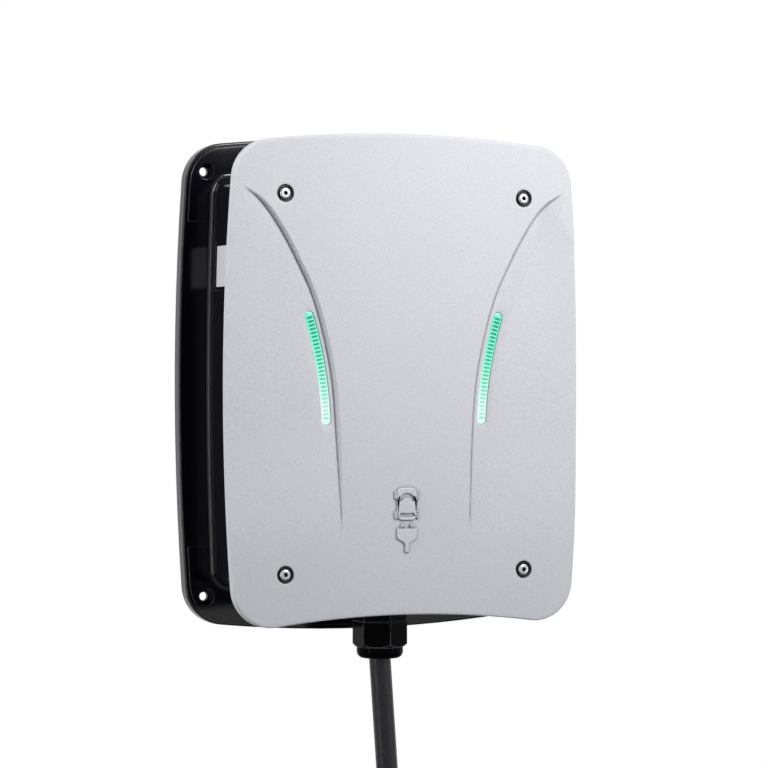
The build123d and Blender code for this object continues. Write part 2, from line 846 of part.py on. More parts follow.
def gland_pieces():
    boss_end = box_bottom - gland_boss_length
    inner_face = inner_bottom + gland_inner_pad
    washer_end = boss_end - gland_washer_thickness
    flange_end = washer_end - gland_flange_height
    cup_end = flange_end - gland_cup_length
    nut_top = flange_end - gland_nut_clearance
    hex_end = nut_top - gland_nut_height
    nut_end = hex_end - gland_dome_height
    thread_top = inner_face + locknut_height + 2
    bore = gland_bore_diameter

    body = upright(0, cable_depth, gland_thread_diameter, washer_end, thread_top)
    body += upright_hex(0, cable_depth, gland_flange_flats, flange_end, washer_end)
    body += upright(0, cable_depth, gland_cup_diameter, cup_end, flange_end)
    body -= upright(0, cable_depth, bore, cup_end, thread_top)
    body -= upright(0, cable_depth, gland_rubber_diameter, cup_end, flange_end)

    washer = upright(0, cable_depth, gland_washer_diameter, washer_end, boss_end)
    washer -= upright(0, cable_depth, gland_thread_diameter, washer_end, boss_end)

    locknut = upright_hex(0, cable_depth, locknut_flats, inner_face, inner_face + locknut_height, 0)
    locknut -= upright(0, cable_depth, gland_thread_diameter, inner_face, inner_face + locknut_height)

    rubber_low = flange_end - gland_rubber_length
    rubber = upright(0, cable_depth, gland_rubber_diameter, rubber_low, flange_end)
    rubber = chamfer(rubber.edges().filter_by(GeomType.CIRCLE).sort_by(Axis.Z)[0], 3)
    rubber -= upright(0, cable_depth, cable_diameter, rubber_low, flange_end)

    nut = upright_hex(0, cable_depth, gland_nut_flats, hex_end, nut_top)
    corner_cone = Location((0, -cable_depth, hex_end)) * Cone(
        gland_nut_flats / 2 + 0.2, gland_nut_flats / 2 + 0.2 + gland_nut_height * 1.2,
        gland_nut_height, align=on_base,
    )
    nut &= corner_cone
    dome = upright(0, cable_depth, gland_nut_flats - 0.8, nut_end, hex_end)
    dome = fillet(dome.edges().filter_by(GeomType.CIRCLE).sort_by(Axis.Z)[0], gland_dome_height * 0.6)
    nut += dome
    cavity_end = cup_end - 1
    nut -= upright(0, cable_depth, gland_cup_diameter + 2 * gland_nut_clearance, cavity_end, nut_top)
    taper = Location((0, -cable_depth, rubber_low)) * Cone(
        gland_rubber_diameter / 2 - 3 + gland_nut_clearance, gland_cup_diameter / 2,
        cavity_end - rubber_low, align=on_base,
    )
    nut -= taper
    nut -= upright(0, cable_depth, cable_diameter + 2, nut_end, rubber_low)
    return body, washer, locknut, rubber, nut, nut_end


def cable_entry(low):
    return upright(0, cable_depth, cable_diameter, low, inner_bottom + sheath_end)


def supply_grommet():
    z = box_top - supply_hole_drop
    flange_face = wall + grommet_flange_thickness
    grommet = post(0, z, grommet_flange_diameter, wall, flange_face)
    grommet += post(0, z, supply_hole_diameter, grommet_set_back, wall)
    well = supply_hole_diameter - 2 * wall
    return grommet - post(0, z, well, grommet_set_back + grommet_membrane, flange_face)


def main_board():
    height = board_top - board_bottom
    board = block(0, (board_top + board_bottom) / 2, 2 * board_half_width, height, board_depth, board_face)
    board = fillet(board.edges().filter_by(Axis.Y), 3)
    for x, z in board_screw_places():
        board -= post(x, z, board_screw_diameter + 2 * screw_clearance, board_depth, board_face)
    return board


def board_screws():
    pieces = []
    for x, z in board_screw_places():
        pieces.append(pan_screw(
            x, z, board_face, board_screw_diameter, board_screw_length,
            board_screw_head_diameter, board_screw_head_height, thread_clearance,
        ))
    return Compound(children=pieces)


def pole_x(index):
    return (index - (pole_count - 1) / 2) * pole_pitch


def terminal_width():
    return pole_count * pole_pitch + 2 * terminal_end_wall


def lever_pivot():
    top = board_top - 2
    return top - lever_pivot_drop, board_face + supply_terminal_depth - lever_pivot_sink


def across(x, z, depth, diameter, length):
    # a round bar along X, by its middle
    return Location((x, -depth, z)) * Rotation(0, 90, 0) * Cylinder(diameter / 2, length)


def supply_terminal():
    top = board_top - 2
    face = board_face + supply_terminal_depth
    middle = top - supply_terminal_height / 2
    body = block(0, middle, terminal_width(), supply_terminal_height, board_face, face)
    body = fillet(body.edges().filter_by(Axis.Y), 1)
    pivot_z, pivot_depth = lever_pivot()
    slot_width = lever_width + 2 * lever_side_clearance
    slot_top = pivot_z + lever_barrel_radius + 2
    slot_low = pivot_z - lever_length - 1
    for i in range(pole_count):
        x = pole_x(i)
        body -= block(
            x, (slot_top + slot_low) / 2, slot_width, slot_top - slot_low, face - lever_slot_depth, face
        )
        pin_length = slot_width + 2 * trunnion_bite + 0.2
        body -= across(x, pivot_z, pivot_depth, trunnion_diameter + 2 * trunnion_clearance, pin_length)
        entry_low = top - supply_terminal_height * supply_entry_share
        body -= upright(x, board_face + 7, supply_entry_diameter, entry_low, top)
    return body


def terminal_lever(index):
    x = pole_x(index)
    pivot_z, pivot_depth = lever_pivot()
    face = board_face + supply_terminal_depth
    arm_face = face - 0.3
    arm_back = arm_face - lever_thickness
    arm = block(x, pivot_z - lever_length / 2, lever_width, lever_length, arm_back, arm_face)
    lip = block(x, pivot_z - lever_length + 1.5, lever_width, 3, arm_back, face + 1.2)
    lever = arm + lip + across(x, pivot_z, pivot_depth, 2 * lever_barrel_radius, lever_width)
    pin_length = lever_width + 2 * lever_side_clearance + 2 * trunnion_bite
    return lever + across(x, pivot_z, pivot_depth, trunnion_diameter, pin_length)


def output_terminal():
    low = output_low
    face = board_face + output_terminal_depth
    middle = low + output_terminal_height / 2
    body = block(0, middle, terminal_width(), output_terminal_height, board_face, face)
    body = fillet(body.edges().filter_by(Axis.Y), 1)
    for i in range(pole_count):
        x = pole_x(i)
        entry = conductor_diameter + 2 * thread_clearance
        body -= upright(x, board_face + output_entry_height, entry, low, low + output_entry_length)
        body -= post(x, middle + 3, output_screw_diameter, face - output_screw_sink, face)
    return body


def relay(side):
    x = side * board_width * relay_offset_share
    z = board_bottom + board_height * relay_middle_share
    face = board_face + relay_depth
    case = block(x, z, relay_width, relay_height, board_face, face)
    case = fillet(case.edges().filter_by(Axis.Y), 1.2)
    return case - block(x, z, relay_width * 0.5, relay_height * 0.3, face - 0.4, face)


def power_supply():
    x = -board_half_width + module_side_inset + power_supply_width / 2
    face = board_face + power_supply_depth
    case = block(x, module_middle_z, power_supply_width, power_supply_height, board_face, face)
    case = fillet(case.edges().filter_by(Axis.Y), 2)
    front = case.faces().sort_by(Axis.Y)[0]
    return chamfer(front.edges(), 1)


def controller_module():
    width, height = controller_width, controller_height
    x = board_half_width - module_side_inset - width / 2
    back = board_face + controller_riser
    module = block(x, module_middle_z, width, height, back, back + controller_plate)
    for side in (-1, 1):
        pin_x = x + side * (width / 2 - 2)
        module += block(pin_x, module_middle_z, 2.5, height - 10, board_face, back)
    can = block(x, module_middle_z + height / 7, width - 6, height / 2, back, board_face + controller_depth)
    return module + fillet(can.edges().filter_by(Axis.Y), 1.5)


def capacitor():
    x = -board_half_width + module_side_inset + power_supply_width / 2
    z = module_middle_z + power_supply_height / 2 + capacitor_gap + capacitor_diameter / 2
    can = post(x, z, capacitor_diameter, board_face, board_face + capacitor_length)
    return fillet(can.edges().filter_by(GeomType.CIRCLE).sort_by(Axis.Y)[0], 1)


def current_selector():
    x = board_half_width - module_side_inset - selector_size
    face = board_face + selector_height
    body = block(x, selector_middle_z, selector_size, selector_size, board_face, face)
    body = fillet(body.edges().filter_by(Axis.Y), 0.8)
    hole = knob_shaft_diameter + 2 * knob_shaft_clearance
    return body - post(x, selector_middle_z, hole, face - knob_shaft_length, face)


def selector_knob():
    x = board_half_width - module_side_inset - selector_size
    face = board_face + selector_height
    base = face + knob_face_clearance
    knob = post(x, selector_middle_z, knob_diameter, base, base + knob_height)
    knob += post(x, selector_middle_z, knob_shaft_diameter, face - knob_shaft_length + 0.3, base + 0.5)
    slot_base = base + knob_height * 0.5
    knob -= block(x, selector_middle_z, knob_diameter * 0.2, knob_diameter, slot_base, base + knob_height)
    return knob


def strain_clamp():
    low = inner_bottom + cradle_start
    middle = low + cradle_height / 2
    face = cable_depth + cable_radius + clamp_thickness
    clamp = block(0, middle, cradle_width, cradle_height, cable_depth, face)
    clamp -= upright(0, cable_depth, cable_diameter, low, low + cradle_height)
    for x, z in clamp_screw_places():
        clamp -= post(x, z, clamp_screw_diameter + 2 * screw_clearance, cable_depth, face)
    return clamp


def clamp_screws():
    seat = cable_depth + cable_radius + clamp_thickness
    pieces = []
    for x, z in clamp_screw_places():
        pieces.append(pan_screw(
            x, z, seat, clamp_screw_diameter, clamp_screw_length,
            clamp_screw_diameter * 2, clamp_screw_diameter * 0.7, thread_clearance,
        ))
    return Compound(children=pieces)


def current_sensor():
    low = inner_bottom + sensor_start
    high = low + sensor_height
    body = upright(0, cable_depth, sensor_outer_diameter, low, high)
    body += block(0, (low + high) / 2, sensor_foot_width, sensor_height, wall, cable_depth)
    body -= upright(0, cable_depth, sensor_bore_diameter, low, high)
    slot = sensor_foot_width - 4 * rib_thickness
    foot_top = cable_depth - sensor_outer_diameter / 2 - rib_thickness
    return body - block(0, (low + high) / 2, slot, sensor_height, wall + rib_thickness, foot_top)


def rounded_tube(points, radii, diameter):
    path = FilletPolyline(*points, radius=radii)
    start = Plane(origin=path @ 0, z_dir=path % 0)
    return sweep(start * Circle(diameter / 2), path=path)


def conductor(index):
    # from the end of the sheath, through or past the sensor, to a pole of the output terminal
    sheath_z = inner_bottom + sheath_end
    sensor_low = inner_bottom + sensor_start
    sensor_high = sensor_low + sensor_height
    angle = radians(conductor_angles[index])
    x, depth = conductor_ring * cos(angle), cable_depth - conductor_ring * sin(angle)
    target = pole_x(index)
    terminal_low = output_low
    target_depth = board_face + output_entry_height
    bend = 2.2 * conductor_diameter
    if index == pole_count - 1:
        past = sensor_outer_diameter / 2 + conductor_diameter
        points = [
            (x, -depth, sheath_z),
            (x, -depth, sheath_z + conductor_diameter),
            (past, -cable_depth, sensor_low - conductor_diameter / 2),
            (past, -cable_depth, sensor_high),
            (target, -target_depth, terminal_low - bend),
            (target, -target_depth, terminal_low + output_entry_length),
        ]
        radii = [conductor_diameter, conductor_diameter, bend, bend]
        return rounded_tube(points, radii, conductor_diameter)
    points = [
        (x, -depth, sheath_z),
        (x, -depth, sensor_high + conductor_rise[index]),
        (target, -target_depth, terminal_low - bend),
        (target, -target_depth, terminal_low + output_entry_length),
    ]
    return rounded_tube(points, [bend, bend], conductor_diameter)


def pilot_wire():
    # from the middle of the lead, through the sensor, to the controller
    sensor_high = inner_bottom + sensor_start + sensor_height
    controller_x = board_half_width - module_side_inset - controller_width / 2
    controller_low = module_middle_z - controller_height / 2
    depth = board_face + controller_riser + controller_plate / 2
    bend = 5 * pilot_diameter
    points = [
        (0, -cable_depth, inner_bottom + sheath_end),
        (0, -cable_depth, sensor_high + pilot_rise),
        (controller_x, -(cable_depth + depth) / 2, controller_low - 2 * bend),
        (controller_x, -depth, controller_low - bend / 2),
        (controller_x, -depth, controller_low),
    ]
    return rounded_tube(points, [bend, bend, bend / 2], pilot_diameter)


def coil_place(angle, phase, strand_ring):
    # a point of the coil: angle from twelve o'clock to the left, phase round the bundle
    centre_x, centre_z = coil_centre()
    radius = coil_radius + strand_ring * cos(radians(phase))
    depth = cable_depth + strand_ring * sin(radians(phase))
    return (
        centre_x - radius * sin(radians(angle)),
        -depth,
        centre_z + radius * cos(radians(angle)),
    )


def coil_centre():
    outer = coil_radius + coil_strand_ring * cos(radians(coil_start_phase))
    return coil_turn_x(), coil_turn_height - outer / cos(radians(coil_start_angle))


def coil_turn_x():
    return (lead_exit_z() - coil_turn_height) * cable_slope


def lead_exit_z():
    boss_end = box_bottom - gland_boss_length
    nut_top = boss_end - gland_washer_thickness - gland_flange_height - gland_nut_clearance
    return nut_top - gland_nut_height - gland_dome_height


def corner_radii(points):
    # each arc of a lead is as large as its two runs allow
    radii = []
    for before, corner, after in zip(points, points[1:], points[2:]):
        arriving = Vector(*corner) - Vector(*before)
        leaving = Vector(*after) - Vector(*corner)
        turn = radians(arriving.get_angle(leaving))
        radii.append(0.45 * min(arriving.length, leaving.length) / tan(turn / 2))
    return radii


def lead_tube(name, points):
    radii = corner_radii(points)
    path = FilletPolyline(*points, radius=radii) if radii else Line(*points)
    start = Plane(origin=path @ 0, z_dir=path % 0)
    tube = sweep(start * Circle(cable_radius), path=path)
    expected = pi * cable_radius ** 2 * path.length
    print(name, "radii", [round(radius, 1) for radius in radii], "length", round(path.length, 1),
          "volume ratio", round(tube.volume / expected, 4))
    return tube


def cable_run():
    # slants away from the gland, then bends into the coil
    exit_z = lead_exit_z()
    start = (-cable_slope, -cable_depth, exit_z + 1)
    turn_point = (coil_turn_x(), -cable_depth, coil_turn_height)
    coil_entry = coil_place(coil_start_angle, coil_start_phase, coil_strand_ring)
    tube = lead_tube("cable_run", [start, turn_point, coil_entry])
    return tube - upright(0, cable_depth, 2 * cable_diameter, exit_z, exit_z + cable_diameter)


def coil_end():
    phase = coil_start_phase + coil_turns * 360 / coil_strands
    return coil_place(90, phase, coil_strand_ring)


def cable_coil():
    centre_x, centre_z = coil_centre()
    placed = Location((centre_x, -cable_depth, centre_z)) * Rotation(90, 0, 0)
    return placed * Torus(coil_radius, coil_section_radius)


def cable_tail():
    x, y, z = coil_end()
    return lead_tube("cable_tail", [(x, y, z), (x, y, z - tail_length - boot_length - shell_throat)])


def cable_tie(angle):
    centre_x, centre_z = coil_centre()
    placed = Location((centre_x, -cable_depth, centre_z)) * Rotation(90, 0, 0)
    band = placed * Torus(coil_radius, coil_section_radius + tie_thickness)
    band -= placed * Torus(coil_radius, coil_section_radius)
    reach = 2 * (coil_section_radius + tie_thickness) + 4
    window = Box(reach, reach, tie_width)
    at_ring = Location((centre_x, -cable_depth, centre_z)) * Rotation(0, -angle, 0) * Pos(0, 0, coil_radius)
    return band & (at_ring * Rotation(0, 90, 0) * window)


def connector_levels():
    x, y, z = coil_end()
    boot_top = z - tail_length
    shell_top = boot_top - boot_length
    shell_end = shell_top - shell_length
    return x, -y, boot_top, shell_top, shell_end


def connector_boot():
    x, depth, boot_top, shell_top, shell_end = connector_levels()
    boot = Location((x, -depth, shell_top)) * Cone(
        boot_large_diameter / 2, boot_small_diameter / 2, boot_length, align=on_base
    )
    boot -= upright(x, depth, cable_diameter, shell_top, boot_top)
    pitch = boot_length / (boot_groove_count + 1)
    for i in range(boot_groove_count):
        low = shell_top + (i + 0.8) * pitch
        groove = upright(x, depth, boot_large_diameter + 2, low, low + pitch * 0.35)
        boot -= groove - upright(x, depth, cable_diameter + 3, low, low + pitch * 0.35)
    return boot


def shell_form(shrink, top, end):
    # the grip's oval sections, blended into the round head
    x, depth, boot_top, shell_top, shell_end = connector_levels()
    sections = []
    neck = boot_large_diameter / 2 + 2
    rows = [
        (shell_top, neck, neck),
        (shell_top - shell_length * 0.25, grip_width / 2, grip_depth / 2),
        (shell_top - shell_length * 0.55, grip_width / 2 + 1, grip_depth / 2 + 1),
        (shell_end + head_length, head_diameter / 2, head_diameter / 2),
    ]
    for z, half_x, half_y in rows:
        outline = Ellipse(half_x - shrink, half_y - shrink)
        sections.append(Location((x, -depth, z)) * outline)
    form = loft(sections)
    form += upright(x, depth, head_diameter - 2 * shrink, shell_end, shell_end + head_length)
    window = Box(head_diameter * 2, head_diameter * 2, top - end, align=on_base)
    return form & (Location((x, -depth, end)) * window)


def shell_screw_places():
    x, depth, boot_top, shell_top, shell_end = connector_levels()
    return [(depth, shell_top - 22), (depth + 11, shell_top - 62), (depth - 11, shell_top - 62)]


def connector_shell(side):
    x, depth, boot_top, shell_top, shell_end = connector_levels()
    outer = shell_form(0, shell_top, shell_end)
    inner = shell_form(shell_wall, shell_top - shell_throat, shell_end + carrier_seat)
    for screw_depth, z in shell_screw_places():
        inner -= across(x, z, screw_depth, 3 * shell_screw_diameter, head_diameter)
    shell = outer - inner
    shell -= upright(x, depth, cable_diameter, shell_top - shell_throat, shell_top)
    shell -= upright(x, depth, carrier_diameter, shell_end, shell_end + carrier_seat)
    for screw_depth, z in shell_screw_places():
        shell -= across(x, z, screw_depth, shell_screw_diameter, 2 * (grip_width / 2 - shell_screw_sink))
        head = across(x, z, screw_depth, shell_screw_head_diameter, head_diameter)
        head &= Location((x + grip_width / 2 - shell_screw_sink, -depth, z)) * Box(
            head_diameter, head_diameter, head_diameter, align=(Align.MIN, Align.CENTER, Align.CENTER)
        )
        shell -= head
    half = Location((x, -depth, shell_end)) * Box(
        head_diameter, head_diameter * 2, shell_length,
        align=(Align.MIN if side > 0 else Align.MAX, Align.CENTER, Align.MIN),
    )
    return shell & half


def shell_screws():
    x, depth, boot_top, shell_top, shell_end = connector_levels()
    head_x = x + grip_width / 2 - shell_screw_sink
    pieces = []
    for screw_depth, z in shell_screw_places():
        length = grip_width - 2 * shell_screw_sink
        shank = across(x, z, screw_depth, shell_screw_diameter - 2 * thread_clearance, length)
        head = across(head_x + 1, z, screw_depth, shell_screw_head_diameter - 2 * screw_clearance, 2)
        pieces.append(shank + head)
    return Compound(children=pieces)


def contact_places():
    # five power contacts and two signal contacts, in the usual seven-way layout
    power = [(0, 0)]
    for angle in (0, 180, 240, 300):
        power.append((contact_circle * cos(radians(angle)), contact_circle * sin(radians(angle))))
    signal = [(-8.5, 13.5), (8.5, 13.5)]
    return power, signal


def nose_outline(diameter, flat):
    outline = Circle(diameter / 2)
    return outline - Pos(0, diameter / 2) * Rectangle(diameter, 2 * flat)


def contact_carrier():
    # the nose's shroud: round in its seat in the shells, with a flat where it stands out
    x, depth, boot_top, shell_top, shell_end = connector_levels()
    end = shell_end - carrier_reach
    top = shell_end + carrier_seat
    nose = upright(x, depth, carrier_diameter, end, top)
    nose = chamfer(nose.edges().filter_by(GeomType.CIRCLE).sort_by(Axis.Z)[0], 1)
    flat_middle = -depth + carrier_diameter / 2
    flat = Box(carrier_diameter, 2 * carrier_flat, carrier_reach, align=on_base)
    nose -= Location((x, flat_middle, end)) * flat
    return nose - extrude(Location((x, -depth, end)) * shroud_inside(), top - end)


def shroud_inside():
    return nose_outline(carrier_diameter - 2 * carrier_wall, carrier_flat)


def sleeve_sizes():
    # each contact's place, its diameter and its sleeve's outer diameter
    power, signal = contact_places()
    sizes = [(place, contact_diameter, contact_diameter + 2 * sleeve_wall) for place in power]
    return sizes + [(place, signal_diameter, signal_diameter + 2 * signal_sleeve_wall) for place in signal]


def contact_plate():
    # holds the sleeves by their inner ends, deep in the shroud
    x, depth, boot_top, shell_top, shell_end = connector_levels()
    high = shell_end - carrier_reach + contact_set_back + contact_length
    low = high - plate_thickness
    plate = extrude(Location((x, -depth, low)) * shroud_inside(), plate_thickness)
    for (dx, dy), bore, outer in sleeve_sizes():
        plate -= upright(x + dx, depth - dy, outer, low, high)
    return plate


def contact_sleeves():
    x, depth, boot_top, shell_top, shell_end = connector_levels()
    end = shell_end - carrier_reach
    low, high = end + sleeve_set_back, end + contact_set_back + contact_length
    pieces = []
    for (dx, dy), bore, outer in sleeve_sizes():
        tube = upright(x + dx, depth - dy, outer, low, high)
        pieces.append(tube - upright(x + dx, depth - dy, bore, low, high))
    return Compound(children=pieces)


def connector_contacts():
    x, depth, boot_top, shell_top, shell_end = connector_levels()
    low = shell_end - carrier_reach + contact_set_back
    power, signal = contact_places()
    pieces = []
    sizes = [(contact_diameter, contact_bore)] * len(power) + [(signal_diameter, signal_bore)] * len(signal)
    for (dx, dy), (diameter, bore) in zip(power + signal, sizes):
        sleeve = upright(x + dx, depth - dy, diameter, low, low + contact_length)
        pieces.append(sleeve - upright(x + dx, depth - dy, bore, low, low + contact_depth))
    return Compound(children=pieces)


def connector_cap():
    x, depth, boot_top, shell_top, shell_end = connector_levels()
    end = shell_end - carrier_reach
    outer_diameter = carrier_diameter + 2 * (cap_clearance + cap_wall)
    low = end - cap_clearance - cap_wall
    high = shell_end - cap_clearance
    cap = upright(x, depth, outer_diameter, low, high)
    cap = fillet(cap.faces().sort_by(Axis.Z)[0].edges(), 2)
    for i in range(cap_rib_count):
        angle = 2 * pi * i / cap_rib_count
        radius = outer_diameter / 2
        cap += upright(
            x + radius * cos(angle), depth - radius * sin(angle), 2 * cap_rib_size, low + 6, high - 3
        )
    inside = nose_outline(carrier_diameter + 2 * cap_clearance, carrier_flat)
    return cap - extrude(Location((x, -depth, end - cap_clearance)) * inside, high - end + cap_clearance)


outer_panel = panel_form(0, 0)
gland_body, gland_washer, gland_locknut, gland_rubber, gland_nut, lead_exit = gland_pieces()
conductor_names = ("l1", "l2", "l3", "neutral", "earth")

pieces = {
    "back_housing": back_housing(),
    "housing_cover": housing_cover(),
    "cover_seal": cover_seal(),
    "cover_screws": cover_screws(),
    "front_panel": front_panel(),
    "panel_spacers": panel_spacers(),
    "panel_inserts": panel_inserts(),
    "panel_washers": panel_washers(),
    "panel_screws": panel_screws(),
    "side_label": side_label(),
    "light_guide_left": light_guide(-1, outer_panel),
    "light_guide_right": light_guide(1, outer_panel),
    "led_board_left": led_board(-1),
    "led_board_right": led_board(1),
    "gland_body": gland_body,
    "gland_washer": gland_washer,
    "gland_locknut": gland_locknut,
    "gland_rubber": gland_rubber,
    "gland_nut": gland_nut,
    "supply_grommet": supply_grommet(),
    "main_board": main_board(),
    "board_screws": board_screws(),
    "supply_terminal": supply_terminal(),
    "output_terminal": output_terminal(),
    "relay_left": relay(-1),
    "relay_right": relay(1),
    "power_supply": power_supply(),
    "capacitor": capacitor(),
    "controller_module": controller_module(),
    "current_selector": current_selector(),
    "selector_knob": selector_knob(),
    "strain_clamp": strain_clamp(),
    "clamp_screws": clamp_screws(),
    "current_sensor": current_sensor(),
    "cable_entry": cable_entry(lead_exit),
    "pilot_wire": pilot_wire(),
    "cable_run": cable_run(),
    "cable_coil": cable_coil(),
    "cable_tail": cable_tail(),
    "connector_boot": connector_boot(),
    "connector_shell_left": connector_shell(-1),
    "connector_shell_right": connector_shell(1),
    "shell_screws": shell_screws(),
    "contact_carrier": contact_carrier(),
    "contact_plate": contact_plate(),
    "contact_sleeves": contact_sleeves(),
    "connector_contacts": connector_contacts(),
    "connector_cap": connector_cap(),
}
for index in range(pole_count):
    pieces["terminal_lever_" + conductor_names[index]] = terminal_lever(index)
    pieces["wire_" + conductor_names[index]] = conductor(index)
for number, angle in enumerate(tie_angles, start=1):
    pieces["cable_tie_" + str(number)] = cable_tie(angle)

for name, shape in pieces.items():
    export_step(shape, "parts/" + name + ".step")
print("written", len(pieces), "pieces")
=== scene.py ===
# Wall charger for an electric car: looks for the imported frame.
# Metres, Z up; the wall is y = 0 and the front faces -Y. Piece sizes below are in millimetres.

import json
import math

import bmesh
import bpy
from mathutils import Matrix, Vector, geometry, kdtree

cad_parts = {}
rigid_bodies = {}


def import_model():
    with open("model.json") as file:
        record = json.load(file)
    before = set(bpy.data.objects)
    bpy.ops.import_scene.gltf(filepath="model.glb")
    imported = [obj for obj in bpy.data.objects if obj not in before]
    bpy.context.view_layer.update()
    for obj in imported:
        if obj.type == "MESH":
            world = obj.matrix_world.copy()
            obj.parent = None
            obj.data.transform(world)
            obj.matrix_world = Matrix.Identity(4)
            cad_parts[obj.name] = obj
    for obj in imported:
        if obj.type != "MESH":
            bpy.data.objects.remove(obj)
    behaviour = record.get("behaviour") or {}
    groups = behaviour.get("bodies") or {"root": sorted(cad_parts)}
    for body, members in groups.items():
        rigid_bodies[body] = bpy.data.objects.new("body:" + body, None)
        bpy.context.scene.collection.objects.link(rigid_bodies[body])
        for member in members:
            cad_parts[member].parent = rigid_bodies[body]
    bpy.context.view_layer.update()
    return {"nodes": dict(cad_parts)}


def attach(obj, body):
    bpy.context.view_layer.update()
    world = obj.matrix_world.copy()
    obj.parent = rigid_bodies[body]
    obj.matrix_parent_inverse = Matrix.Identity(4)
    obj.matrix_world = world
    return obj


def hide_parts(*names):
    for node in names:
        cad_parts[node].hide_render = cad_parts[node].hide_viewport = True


for leftover in list(bpy.data.objects):
    bpy.data.objects.remove(leftover)
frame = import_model()
nodes = frame["nodes"]
scene = bpy.context.scene
mm = 0.001
print("frame loaded:", len(nodes), "nodes")


def linearColour(hexText):
    channels = [int(hexText[i:i + 2], 16) / 255 for i in (0, 2, 4)]
    curve = [c / 12.92 if c <= 0.04045 else ((c + 0.055) / 1.055) ** 2.4 for c in channels]
    return curve + [1.0]


def addNode(tree, kind, inputs=None, **settings):
    node = tree.nodes.new("ShaderNode" + kind)
    for name, value in settings.items():
        setattr(node, name, value)
    for socket, value in (inputs or {}).items():
        if isinstance(value, bpy.types.NodeSocket):
            tree.links.new(value, node.inputs[socket])
        else:
            node.inputs[socket].default_value = value
    return node


def place(x, depth, z):  # millimetres to the frame's metres
    return Vector((x, -depth, z)) * mm


def ease(t):  # 0 to 1 with soft ends
    t = min(max(t, 0.0), 1.0)
    return t * t * (3 - 2 * t)


def keepPiece(name, mesh, surfaces, sharpAngle):
    for polygon in mesh.polygons:
        polygon.use_smooth = True
    mesh.set_sharp_from_angle(angle=math.radians(sharpAngle))
    for surface in surfaces:
        mesh.materials.append(surface)
    piece = bpy.data.objects.new(name, mesh)
    scene.collection.objects.link(piece)
    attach(piece, "charger")
    return piece


